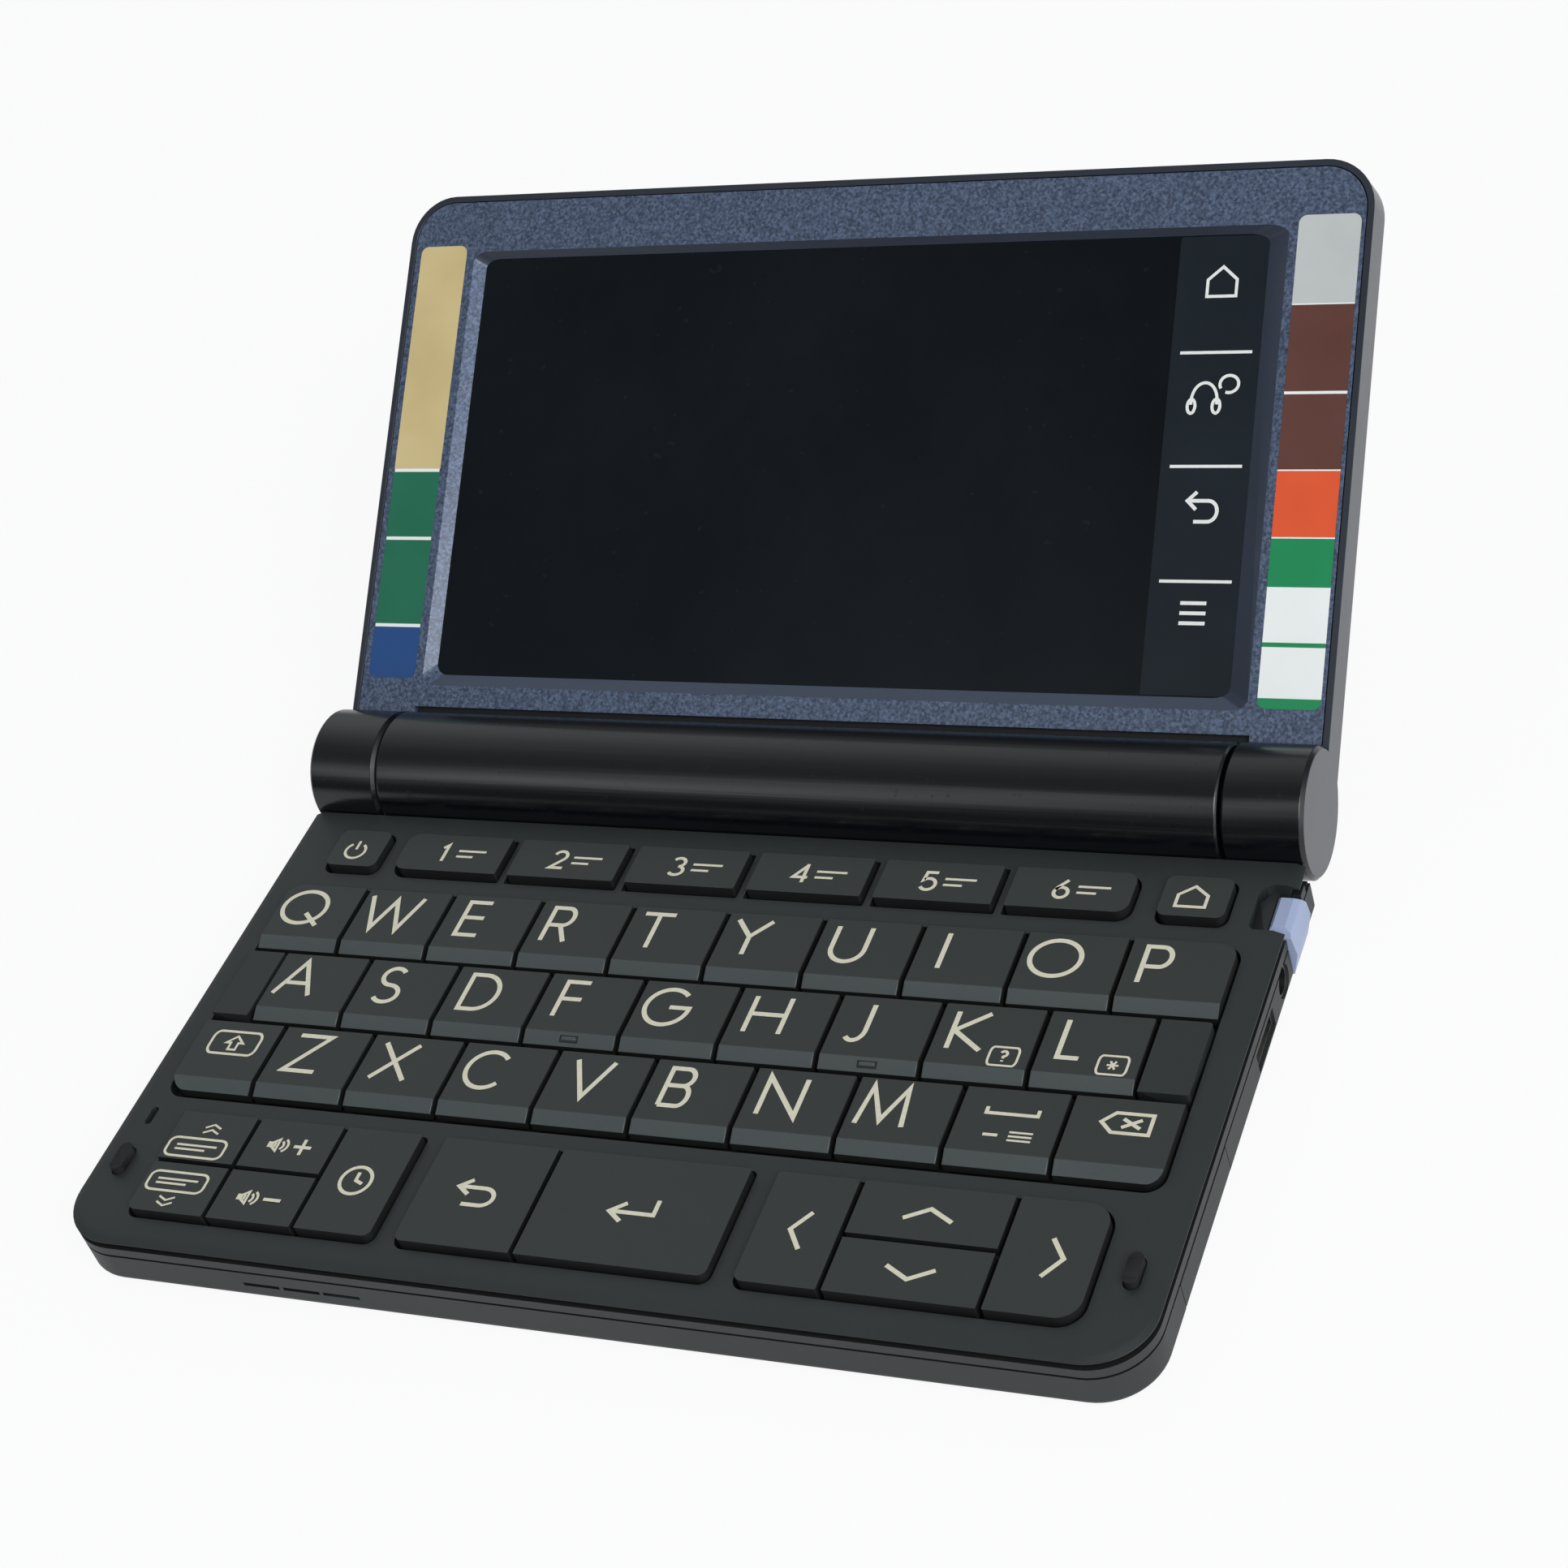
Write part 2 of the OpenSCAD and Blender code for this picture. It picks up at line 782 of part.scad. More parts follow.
module usb_socket() {
    x1 = half_w - 0.5;
    w = usb_w / 2;
    h = usb_h / 2;
    difference() {
        block(
            [x1 - usb_deep, usb_y - w - metal_t, usb_z - h - metal_t],
            [x1, usb_y + w + metal_t, usb_z + h + metal_t]
        );
        block([x1 - usb_deep + metal_t, usb_y - w, usb_z - h], [x1 + 1, usb_y + w, usb_z + h]);
    }
    block([x1 - usb_deep + tiny, usb_y - 2.6, usb_z], [x1 - 0.6, usb_y + 2.6, usb_z + 0.6]);
}

module card_socket() {
    x = [half_w - card_gap - card_l, half_w - card_gap];
    w = card_w / 2;
    difference() {
        block([x[0], door_y - w - card_t, wall + tiny], [x[1], door_y + w + card_t, board_z]);
        block([x[0] + card_back, door_y - w, wall + 0.4], [x[1] + 1, door_y + w, board_z - 0.25]);
    }
}

// Flat contact plates at both ends of the battery bore
module battery_contacts() {
    for (side = [-1, 1])
        translate([side * (bore_l / 2 - 0.35), axis_y, axis_z])
            rotate([0, 90, 0])
                cylinder(h = 0.5, d = 11, center = true);
}

// Silicone sheet with a dome under every stem and rocker foot
module key_mat() {
    color([0.75, 0.75, 0.73]) {
        difference() {
            plate(
                [-half_w + 2.6, half_w - 2.6], [board_front + 0.3, board_rear - 0.1],
                [mat_z, dome_z], [4, 4, 0, 0]
            );
            board_cuts(mat_z);
            plate([-half_w, -half_w + 5.8], [block_front - 6, block_front - 1.4], [mat_z - 1, dome_z + 1]);
        }
        translate([0, 0, dome_z - tiny]) {
            at_large_stems()
                cylinder(h = dome_h + tiny, d1 = dome_d, d2 = dome_d - 1);
            at_rocker_feet()
                cylinder(h = dome_h + tiny, d1 = dome_d, d2 = dome_d - 1);
            at_thin_stems()
                cylinder(h = dome_h + tiny, d1 = 2.2, d2 = 1.8);
        }
    }
}

// Right side pieces

module card_slot_door() {
    w = door_w / 2 - fit;
    color(charcoal) {
        along_y(door_y - w, door_y + w)
            translate([half_w - corner_r, 0])
                difference() {
                    bottom_profile(door_z[0], door_z[1]);
                    square([corner_r - wall, door_z[1] + 1]);
                }
        translate([door_x, door_y, door_hinge_z])
            rotate([90, 0, 0])
                cylinder(h = door_w + 1.4, r = door_pin_r, center = true);
    }
}

module touch_pen() {
    tip = 4;
    x0 = half_w - pen_l;
    color(lavender) {
        translate([x0, pen_y, pen_z])
            rotate([0, 90, 0])
                cylinder(h = tip, d1 = 1.2, d2 = pen_d);
        rod_x(x0 + tip, half_w - head_t + tiny, pen_d, pen_y, pen_z);
        intersection() {
            along_y(head_y[0], head_y[1])
                polygon([
                    [half_w - head_t, head_z[0]], [half_w, head_z[0]],
                    [half_w + head_bulge, 3.8], [half_w + 0.45, 7.2], [half_w - 0.3, head_z[1]],
                    [half_w - head_t + 0.5, head_z[1]], [half_w - head_t, head_z[1] - 0.6]
                ]);
            along_x(half_w - head_t - 1, half_w + head_bulge + 1)
                polygon([
                    [head_y[0], head_z[0]], [head_y[1], head_z[0]], [head_y[1], 5.9],
                    [head_y[1] - 1.4, head_z[1]], [head_y[0] + 0.9, head_z[1]], [head_y[0], 6.6]
                ]);
        }
    }
}

module rubber_pads() {
    color([0.09, 0.09, 0.09]) {
        for (side = [-1, 1])
            bumper(side, 0, case_h - 0.6, key_top + 0.1);
        at_feet()
            translate([0, 0, -overlap])
                cylinder(h = 2 * overlap, d = 8);
    }
}

// Lid

// Places lid shapes, drawn with Y up the lid and Z out of its face, at the photographed angle
module in_lid() {
    translate([0, axis_y, axis_z])
        rotate([lid_rest, 0, 0])
            children();
}

// Edge of the lid: straight rim at the face, rounded towards the back
module lid_profile() {
    translate([lid_r - lid_edge, back_n + lid_edge])
        circle(lid_edge);
    translate([0, back_n])
        square([lid_r - lid_edge, lid_t]);
    translate([0, back_n + lid_edge])
        square([lid_r, lid_t - lid_edge]);
}

module lid_back_cover() {
    color(navy)
        in_lid()
            difference() {
                union() {
                    mirror([0, 1, 0])
                        edged_slab(half_w, -lid_l, 0, lid_r, back_n, face_n)
                            intersection() {
                                lid_profile();
                                translate([0, back_n])
                                    square([lid_r, lid_t]);
                            }
                    for (side = [0, 1])
                        mirror([side, 0, 0])
                            translate([0, -axis_y, -axis_z])
                                turned_x(cap_in, half_w, barrel_d / 2, 0.5);
                }
                rod_x(-cap_in, cap_in, 2 * clear_r);
                bezel_recess();
                plate([-half_w + 2.5, half_w - 2.5], [pocket_v, lid_l - 2], [back_n + lid_wall, 0]);
                for (side = [0, 1])
                    mirror([side, 0, 0])
                        rod_x(cap_in - 1, barrel_l / 2 + pin_l / 2 + 0.3, pin_d + 2 * stem_fit);
            }
}

module bezel_recess() {
    r = lid_r - lid_rim;
    plate(
        [-half_w + lid_rim, half_w - lid_rim], [barrel_d / 2 + 0.15, lid_l - lid_rim],
        [glass_n, 0], [0, 0, r, r]
    );
}

// Front plate: bevelled window, and two tabs that reach down beside the barrel
module lid_bezel() {
    x = half_w - lid_rim - fit;
    r = lid_r - lid_rim - fit;
    color(blue_grey)
        in_lid()
            difference() {
                union() {
                    plate([-x, x], [bezel_v, lid_l - lid_rim - fit], [glass_n, face_n], [0, 0, r, r]);
                    for (side = [0, 1])
                        mirror([side, 0, 0])
                            plate([cap_in + 0.3, x], [barrel_d / 2 + 0.3, bezel_v + 1], [glass_n, face_n]);
                }
                window_cut();
            }
}

// Frustum through the bezel: two prisms with sloping sides, crossed
module window_cut() {
    w = window_w / 2;
    v = [window_v, window_v + window_l];
    n = [glass_n, face_n];
    intersection() {
        along_y(0, lid_l)
            polygon([
                [-w, n[0] - 1], [w, n[0] - 1], [w, n[0]], [w + bevel, n[1]], [w + bevel, n[1] + 1],
                [-w - bevel, n[1] + 1], [-w - bevel, n[1]], [-w, n[0]]
            ]);
        along_x(-half_w, half_w)
            polygon([
                [v[0], n[0] - 1], [v[1], n[0] - 1], [v[1], n[0]], [v[1] + bevel, n[1]],
                [v[1] + bevel, n[1] + 1], [v[0] - bevel, n[1] + 1], [v[0] - bevel, n[1]],
                [v[0], n[0]]
            ]);
    }
}

module screen_glass() {
    w = window_w / 2 + 1.2;
    v = [window_v - 1.2, window_v + window_l + 1.2];
    color([0.05, 0.06, 0.08])
        in_lid()
            plate([-w, w], v, [glass_n - glass_t, glass_n]);
}

module lcd_panel() {
    w = window_w / 2 + 0.2;
    v = [window_v - 0.2, window_v + window_l + 0.2];
    color([0.12, 0.14, 0.16])
        in_lid()
            plate([-w, w - 12], v, [back_n + lid_wall, glass_n - glass_t]);
}

// Keys

// Foot of a stem: a hook ring under the deck, slit so that it can be snapped in
module stem(d, slit) {
    difference() {
        union() {
            translate([0, 0, stem_z])
                cylinder(h = cap_z - stem_z + tiny, d = d);
            translate([0, 0, stem_z])
                cylinder(h = hook_t, d = d + 2 * hook);
        }
        block([-slit / 2, -d, stem_z - 1], [slit / 2, d, deck_top]);
    }
}

// Only the keys at the four corners of the letter block are rounded
function letter_corners(row, i) = [
    row == 2 && i == 0 ? block_r : 0, row == 2 && i == 9 ? block_r : 0,
    row == 0 && i == 9 ? block_r : 0, row == 0 && i == 0 ? block_r : 0
];

// Letter key with a sloping front
module letter_key(row, i) {
    x = letter_x(row, i);
    y1 = row_rear(row);
    y0 = y1 - cap_d;
    color(key_grey) {
        intersection() {
            along_x(x[0], x[1])
                polygon([
                    [y0, cap_z], [y1, cap_z], [y1, key_top],
                    [y0 + slope_run, key_top], [y0, key_top - slope_drop]
                ]);
            plate(x, [y0, y1], [cap_z - 1, key_top + 1], letter_corners(row, i));
        }
        translate([letter_mid(row, i), letter_mid_y(row), 0])
            stem(stem_d, 0.8);
        if (row == 1 && (i == 3 || i == 6))
            finger_mark(x, y0);
    }
}

// Raised bar on the slope of the two home keys
module finger_mark(x, y0) {
    m = (x[0] + x[1]) / 2;
    rise = slope_drop / slope_run;
    along_x(m - 1.1, m + 1.1)
        polygon([
            [y0 + 0.7, key_top - slope_drop], [y0 + 1.15, key_top - slope_drop],
            [y0 + 1.15, key_top - slope_drop + 1.15 * rise + 0.15],
            [y0 + 0.7, key_top - slope_drop + 0.7 * rise + 0.15]
        ]);
}

// Flat key between the edges x, with its own corner radii, cut back by trim at both ends
module flat_key(x, y, r, d, stem_y, trim = [0, 0]) {
    color(key_grey) {
        plate([x[0] + trim[0], x[1] - trim[1]], y, [cap_z, key_top], r);
        for (s = stem_offsets(x[1] - x[0]))
            translate([(x[0] + x[1]) / 2 + s, stem_y, 0])
                stem(d, d / 5);
    }
}

module top_key(x, r) {
    flat_key(x, [top_front, top_rear], r, thin_stem_d, top_front + 1.25);
}

module wide_key(i) {
    top_key([wide_left(i), wide_left(i) + wide_w], wide_corners(i, 0));
}

// Key of a bottom group; ends says which sides lie at the ends of the group
module low_key(x, ends, r = [low_r, low_r, rear_r, rear_r]) {
    g = key_gap / 2;
    flat_key(
        x, [low_front, low_rear],
        [ends[0] ? r[0] : inner_r, ends[1] ? r[1] : inner_r, ends[1] ? r[2] : inner_r, ends[0] ? r[3] : inner_r],
        stem_d, low_mid, [ends[0] ? 0 : g, ends[1] ? 0 : g]
    );
}

// Two-way key: one cap with a deep groove across, a round keel and two feet
module rocker(x, ends) {
    g = key_gap / 2;
    xs = [x[0] + (ends[0] ? 0 : g), x[1] - g];
    color(key_grey) {
        difference() {
            plate(
                xs, [low_front, low_rear], [cap_z, key_top],
                [ends[0] ? low_r : inner_r, inner_r, inner_r, ends[0] ? rear_r : inner_r]
            );
            block([xs[0] - 1, low_mid - g, key_top - split_h], [xs[1] + 1, low_mid + g, key_top + 1]);
        }
        along_x(x[0] + 1.3, x[1] - 1.3) {
            translate([low_mid, keel_z])
                circle(keel_r);
            translate([low_mid - keel_r, keel_z])
                square([2 * keel_r, cap_z - keel_z + tiny]);
        }
        translate([(x[0] + x[1]) / 2, low_mid, stem_z])
            for (side = [-1, 1])
                translate([0, side * foot_y, 0])
                    cylinder(h = cap_z - stem_z + tiny, d = foot_d);
    }
}

base_top_case();
base_bottom_case();
hinge_barrel();
battery_cover();
battery_cells();
circuit_board();
key_mat();
card_slot_door();
touch_pen();
rubber_pads();
hinge_pins();
lid_back_cover();
lid_bezel();
screen_glass();
lcd_panel();
top_key(power_x, [1.2, 1.2, 1.2, 1.2]);  // key_power
wide_key(0);  // key_wide_1
wide_key(1);  // key_wide_2
wide_key(2);  // key_wide_3
wide_key(3);  // key_wide_4
wide_key(4);  // key_wide_5
wide_key(5);  // key_wide_6
top_key(home_x, [1.2, 1.2, 1.2, 1.2]);  // key_home
letter_key(0, 0);  // key_q
letter_key(0, 1);  // key_w
letter_key(0, 2);  // key_e
letter_key(0, 3);  // key_r
letter_key(0, 4);  // key_t
letter_key(0, 5);  // key_y
letter_key(0, 6);  // key_u
letter_key(0, 7);  // key_i
letter_key(0, 8);  // key_o
letter_key(0, 9);  // key_p
letter_key(1, 0);  // key_a
letter_key(1, 1);  // key_s
letter_key(1, 2);  // key_d
letter_key(1, 3);  // key_f
letter_key(1, 4);  // key_g
letter_key(1, 5);  // key_h
letter_key(1, 6);  // key_j
letter_key(1, 7);  // key_k
letter_key(1, 8);  // key_l
letter_key(2, 0);  // key_shift
letter_key(2, 1);  // key_z
letter_key(2, 2);  // key_x
letter_key(2, 3);  // key_c
letter_key(2, 4);  // key_v
letter_key(2, 5);  // key_b
letter_key(2, 6);  // key_n
letter_key(2, 7);  // key_m
letter_key(2, 8);  // key_space
letter_key(2, 9);  // key_delete
low_key(history_x, [false, true]);  // key_history
low_key(back_x, [true, false]);  // key_back
low_key(enter_x, [false, true]);  // key_enter
low_key(left_x, [true, false]);  // key_left
low_key(right_x, [false, true], [low_r, right_r, right_r, rear_r]);  // key_right
rocker(entry_x, [true, false]);  // rocker_entry
rocker(volume_x, [false, false]);  // rocker_volume
rocker(updown_x, [false, false]);  // rocker_updown
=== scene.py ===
import math
import json

import bmesh
import bpy
from mathutils import Matrix, Vector

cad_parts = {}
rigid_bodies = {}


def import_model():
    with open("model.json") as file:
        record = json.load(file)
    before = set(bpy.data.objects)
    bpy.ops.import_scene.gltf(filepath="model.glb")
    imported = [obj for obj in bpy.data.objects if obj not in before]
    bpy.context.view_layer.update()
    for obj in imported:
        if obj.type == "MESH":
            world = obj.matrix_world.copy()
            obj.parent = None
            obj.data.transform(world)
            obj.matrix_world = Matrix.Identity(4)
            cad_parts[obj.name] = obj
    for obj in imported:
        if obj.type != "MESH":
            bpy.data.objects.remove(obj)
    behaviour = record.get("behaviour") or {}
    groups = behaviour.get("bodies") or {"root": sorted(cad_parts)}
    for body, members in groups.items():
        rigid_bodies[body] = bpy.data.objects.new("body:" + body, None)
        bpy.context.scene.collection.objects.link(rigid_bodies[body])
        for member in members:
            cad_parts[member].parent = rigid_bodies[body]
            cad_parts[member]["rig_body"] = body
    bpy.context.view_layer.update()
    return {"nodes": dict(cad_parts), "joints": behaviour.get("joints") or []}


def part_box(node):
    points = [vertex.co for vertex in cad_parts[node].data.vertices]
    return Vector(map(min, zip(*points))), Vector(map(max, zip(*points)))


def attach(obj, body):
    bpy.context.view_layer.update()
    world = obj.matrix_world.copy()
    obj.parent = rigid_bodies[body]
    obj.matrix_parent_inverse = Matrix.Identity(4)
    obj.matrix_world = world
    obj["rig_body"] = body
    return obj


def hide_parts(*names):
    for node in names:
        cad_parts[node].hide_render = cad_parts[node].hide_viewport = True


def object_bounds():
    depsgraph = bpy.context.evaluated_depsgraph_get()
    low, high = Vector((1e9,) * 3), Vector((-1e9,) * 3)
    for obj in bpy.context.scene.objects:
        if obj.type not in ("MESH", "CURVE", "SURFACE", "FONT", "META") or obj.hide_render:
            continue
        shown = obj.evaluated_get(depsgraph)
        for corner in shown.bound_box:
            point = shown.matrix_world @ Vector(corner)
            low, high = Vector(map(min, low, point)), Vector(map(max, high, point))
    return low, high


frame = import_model()

MM = 0.001

# Bottom case. Lower shell of the keyboard, moulded in charcoal plastic with a
# fine spark-eroded texture. Its rim stands back from the top case, so a seam
# runs round the body, and its groove is painted near black as shade.


class Wire:
    """One output of a finish's nodes; arithmetic on it adds Math nodes."""

    def __init__(self, finish, socket):
        self.finish = finish
        self.socket = socket

    def maths(self, operation, *others):
        node = self.finish.tree.nodes.new("ShaderNodeMath")
        node.operation = operation
        for slot, value in zip(node.inputs, others):
            self.finish.connect(slot, value)
        return Wire(self.finish, node.outputs[0])

    def __add__(self, other):
        return self.maths("ADD", self, other)

    def __sub__(self, other):
        return self.maths("SUBTRACT", self, other)

    def __mul__(self, other):
        return self.maths("MULTIPLY", self, other)

    def __gt__(self, other):
        return self.maths("GREATER_THAN", self, other)

    def __pow__(self, other):
        return self.maths("POWER", self, other)


class Finish:
    """A material or a world with one main shader, whose constants stand on its own sockets."""

    def __init__(self, name, kind="materials", **constants):
        self.material = getattr(bpy.data, kind).new(name)
        self.material.use_nodes = True
        self.tree = self.material.node_tree
        main, end = ("Principled BSDF", "Material Output")
        if kind == "worlds":
            main, end = ("Background", "World Output")
        self.shader = self.tree.nodes[main]
        self.output = self.tree.nodes[end]
        self.feed(**constants)

    def connect(self, slot, value):
        if isinstance(value, Wire):
            self.tree.links.new(value.socket, slot)
        else:
            slot.default_value = value

    def feed(self, **values):
        for name, value in values.items():
            self.connect(self.shader.inputs[name.replace("_", " ")], value)
        return self

    def add(self, kind, settings=None, inputs=None, out=0):
        node = self.tree.nodes.new("ShaderNode" + kind)
        for name, value in (settings or {}).items():
            if name == "stops":
                ramp = node.color_ramp.elements
                for place, stop in enumerate(value):
                    element = ramp[place] if place < 2 else ramp.new(stop[0])
                    element.position = stop[0]
                    element.color = (*stop[1], 1.0)
            else:
                setattr(node, name, value)
        for name, value in (inputs or {}).items():
            self.connect(node.inputs[name], value)
        return Wire(self, node.outputs[out])

    def place(self):
        return self.add("TexCoord", out=3)

    def noise(self, scale, detail=2.0, roughness=0.5, stretch=None):
        spot = self.place()
        if stretch:
            spot = self.add("Mapping", inputs={"Vector": spot, "Scale": stretch})
        return self.add(
            "TexNoise", inputs={"Vector": spot, "Scale": scale, "Detail": detail, "Roughness": roughness}
        )

    def blend(self, low, high, amount):
        return self.add("Mix", {"data_type": "RGBA"}, {0: amount, 6: low, 7: high}, out=2)

    def bump(self, height, depth, strength):
        return self.add("Bump", inputs={"Height": height, "Distance": depth, "Strength": strength})


def ink(red, green, blue):
    """A colour read as 0 to 255 on a screen, as the shader's linear values."""
    out = []
    for value in (red, green, blue):
        part = value / 255
        out.append(part / 12.92 if part <= 0.04045 else ((part + 0.055) / 1.055) ** 2.4)
    return (*out, 1.0)


def moulded(name, dark, light, roughness, grain=0.00002):
    """Moulded plastic: fine grain, faint handling marks and a slight change of tone."""
    finish = Finish(name, IOR=1.5)
    fine = finish.noise(5200, 3)
    smear = finish.noise(55, 4, 0.6)
    finish.feed(
        Base_Color=finish.blend(dark, light, fine * 0.6 + smear * 0.5),
        Roughness=smear * 0.16 + fine * 0.08 + (roughness - 0.12),
        Normal=finish.bump(fine, grain, 0.5),
    )
    return finish


case_plastic = moulded("case_plastic", ink(30, 33, 34), ink(47, 51, 51), 0.52)


WELD = 2e-6


def made(name, shape, *finishes):
    """Turns a shape into a named object of the scene that wears the finishes."""
    mesh = bpy.data.meshes.new(name)
    shape.to_mesh(mesh)
    shape.free()
    for finish in finishes:
        mesh.materials.append(finish.material)
    piece = bpy.data.objects.new(name, mesh)
    bpy.context.scene.collection.objects.link(piece)
    return piece


def soften(node, finish, width, pick=None, steps=2, angle=25, others=(), reshape=None):
    """Stands for a CAD node, with the same shape and small radii on its outer edges.

    others holds more finishes, each with a test that says which faces it covers,
    and reshape changes the shape before its edges are rounded.
    """
    body = frame["nodes"][node]["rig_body"]
    shape = bmesh.new()
    shape.from_mesh(frame["nodes"][node].data)
    bmesh.ops.remove_doubles(shape, verts=shape.verts, dist=WELD)
    if reshape:
        reshape(shape)
        shape.normal_update()
    weight = shape.edges.layers.float.new("bevel_weight_edge")
    for face in shape.faces:
        face.smooth = True
        face.material_index = 0
        for slot, (_, covers) in enumerate(others):
            if covers(face):
                face.material_index = slot + 1
    for edge in shape.edges:
        if len(edge.link_faces) != 2 or edge.calc_face_angle() < math.radians(angle):
            continue
        edge.smooth = False
        if edge.is_convex and (pick is None or pick(edge)):
            edge[weight] = 1.0
    piece = made(node + "_softened", shape, finish, *(other for other, _ in others))
    bevel = piece.modifiers.new("edge_radius", "BEVEL")
    bevel.width = width
    bevel.segments = steps
    bevel.limit_method = "WEIGHT"
    bevel.use_clamp_overlap = True
    normals = piece.modifiers.new("even_shading", "WEIGHTED_NORMAL")
    normals.keep_sharp = True
    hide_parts(node)
    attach(piece, body)


bottom_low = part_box("base_bottom_case")[0]
# Near black plastic laid as painted shade in the seam groove, the ledge, the speaker slots, the key wells and
# the lid's trough.
seam_shade_plastic = moulded("seam_shade_plastic", ink(9, 10, 10), ink(19, 20, 20), 0.65)


SEAM_Z = (4.85, 5.35)
SPEAKER_X = (-50, -31)
SPEAKER_Z = (2.2, 3.3)
SPEAKER_DEPTH = (0.05, 2.5)


def between(value, limits):
    """Whether a length in metres lies between two limits in millimetres."""
    return limits[0] * MM < value < limits[1] * MM


def in_seam_shade(face):
    """The groove round the rim, the ledge under the top case and the speaker slots, painted near black as
    shade.
    """
    middle = face.calc_center_median()
    groove = between(middle.z, SEAM_Z)
    ledge = middle.z > SEAM_Z[1] * MM and face.normal.z > 0.8
    slot = (
        between(middle.y - bottom_low.y, SPEAKER_DEPTH) and between(middle.z, SPEAKER_Z)
        and between(middle.x, SPEAKER_X)
    )
    return groove or ledge or slot


soften("base_bottom_case", case_plastic, 0.12 * MM, others=[(seam_shade_plastic, in_seam_shade)])

# Top case. One moulding with the key wells, the two blank caps of the middle
# row and the finger notch over the stylus. Its outer edge is chamfered.

top_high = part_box("base_top_case")[1]
WELL_DEPTH = 1.5 * MM
CASE_EDGE = 4 * MM
CHAMFER_DROP = 0.7 * MM
RIM_Z = 7 * MM


def in_shaded_well(face):
    """The deck and walls of the key wells, painted near black as shade."""
    middle = face.calc_center_median()
    return middle.z < top_high.z - WELL_DEPTH and abs(middle.x) < top_high.x - CASE_EDGE


# A lighter copy of the case plastic: painted highlight on the front chamfer.
chamfer_highlight_plastic = moulded("chamfer_highlight_plastic", ink(46, 51, 51), ink(66, 72, 72), 0.44)


def on_front_chamfer(face):
    """The front chamfer, painted lighter as highlight."""
    middle = face.calc_center_median()
    return middle.z > top_high.z - CHAMFER_DROP and face.normal.y < -0.15 and face.normal.z > 0.3


soften(
    "base_top_case", case_plastic, 0.13 * MM, pick=lambda edge: edge.verts[0].co.z > RIM_Z,
    others=[(seam_shade_plastic, in_shaded_well), (chamfer_highlight_plastic, on_front_chamfer)],
)

# Memory card door. A curved flap of the same plastic, flush with the wall,
# that turns down about its lower edge.

soften("card_slot_door", case_plastic, 0.1 * MM)

# Rubber pads. Two bumpers that meet the shut lid, and four feet glued into
# shallow pockets of the underside.

pad_rubber = moulded("pad_rubber", ink(14, 14, 15), ink(28, 28, 29), 0.75)
PAD_EDGE = 1.2 * MM
soften("rubber_pads", pad_rubber, 0.35 * MM, pick=lambda edge: edge.calc_length() < PAD_EDGE, steps=3)

# Stylus. Lavender plastic, pushed into its silo until the head is flush with
# the right side.

stylus_plastic = moulded("stylus_plastic", ink(144, 156, 190), ink(172, 184, 214), 0.42, 0.00001)
soften("touch_pen", stylus_plastic, 0.25 * MM, steps=3)

# Barrel. A glossy tube across the back that holds the two cells. Its curved
# cover under the cells is matte, the cells have plain metal jackets, and
# ground steel pins in its ends carry the lid.

barrel_plastic = Finish("barrel_plastic", IOR=1.5, Coat_Weight=0.12, Coat_Roughness=0.12)
swirl = barrel_plastic.noise(38, 5, 0.6, stretch=(0.25, 1.0, 1.0))
streaks = barrel_plastic.noise(420, 4, 0.6, stretch=(0.012, 1.0, 1.0))
dust = barrel_plastic.noise(900, 2)
barrel_plastic.feed(
    Base_Color=barrel_plastic.blend(ink(3, 5, 8), ink(15, 19, 23), swirl * 0.4 + streaks * 0.6),
    Roughness=streaks * 0.24 + (dust > 0.7) * 0.1 + 0.1,
    Normal=barrel_plastic.bump(streaks, 0.0001, 0.6),
)
soften("hinge_barrel", barrel_plastic, 0.1 * MM)
cover_plastic = moulded("cover_plastic", ink(26, 28, 32), ink(40, 43, 47), 0.55)
soften("battery_cover", cover_plastic, 0.1 * MM)


def metal(name, dark, light, roughness):
    """Worked metal: fine streaks along X and uneven polish."""
    finish = Finish(name, Metallic=1.0)
    streak = finish.noise(800, 4, 0.6, stretch=(0.08, 1.0, 1.0))
    finish.feed(
        Base_Color=finish.blend(dark, light, streak),
        Roughness=streak * 0.2 + roughness,
        Normal=finish.bump(streak, 0.00001, 0.3),
    )
    return finish


def clothe(node, finish):
    """Gives a carried-over CAD node its finish."""
    mesh = frame["nodes"][node].data
    mesh.materials.clear()
    mesh.materials.append(finish.material)


pin_steel = metal("pin_steel", ink(150, 150, 152), ink(205, 205, 208), 0.22)
clothe("hinge_pins", pin_steel)
cell_jacket = metal("cell_jacket", ink(150, 140, 120), ink(200, 190, 168), 0.3)
clothe("battery_cells", cell_jacket)

# Board and key mat. A glass epoxy board with its sockets on the right edge,
# and a sheet of milky silicone with a dome under every key.

board_mask = Finish("board_mask", IOR=1.5, Coat_Weight=0.4)
weave = board_mask.noise(1500, 2)
traces = board_mask.noise(180, 5, 0.7)
board_mask.feed(
    Base_Color=board_mask.blend(ink(12, 50, 30), ink(30, 84, 52), (traces > 0.52) * 0.6 + weave * 0.3),
    Roughness=weave * 0.2 + 0.35,
)
socket_plastic = moulded("socket_plastic", ink(10, 10, 11), ink(22, 22, 23), 0.45)
contact_steel = metal("contact_steel", ink(140, 138, 132), ink(196, 194, 188), 0.3)
BOARD_SPAN = 100 * MM
CONTACT_THICK = 1 * MM
SOCKET_SIDE = 70 * MM
SOCKET_WIDE = 7.5 * MM


def islands(shape):
    """The vertices that hang together with each vertex of a shape."""
    island = {}
    for start in shape.verts:
        if start in island:
            continue
        group, open_ends = [], [start]
        island[start] = group
        while open_ends:
            vert = open_ends.pop()
            group.append(vert)
            for edge in vert.link_edges:
                other = edge.other_vert(vert)
                if other not in island:
                    island[other] = group
                    open_ends.append(other)
    return island


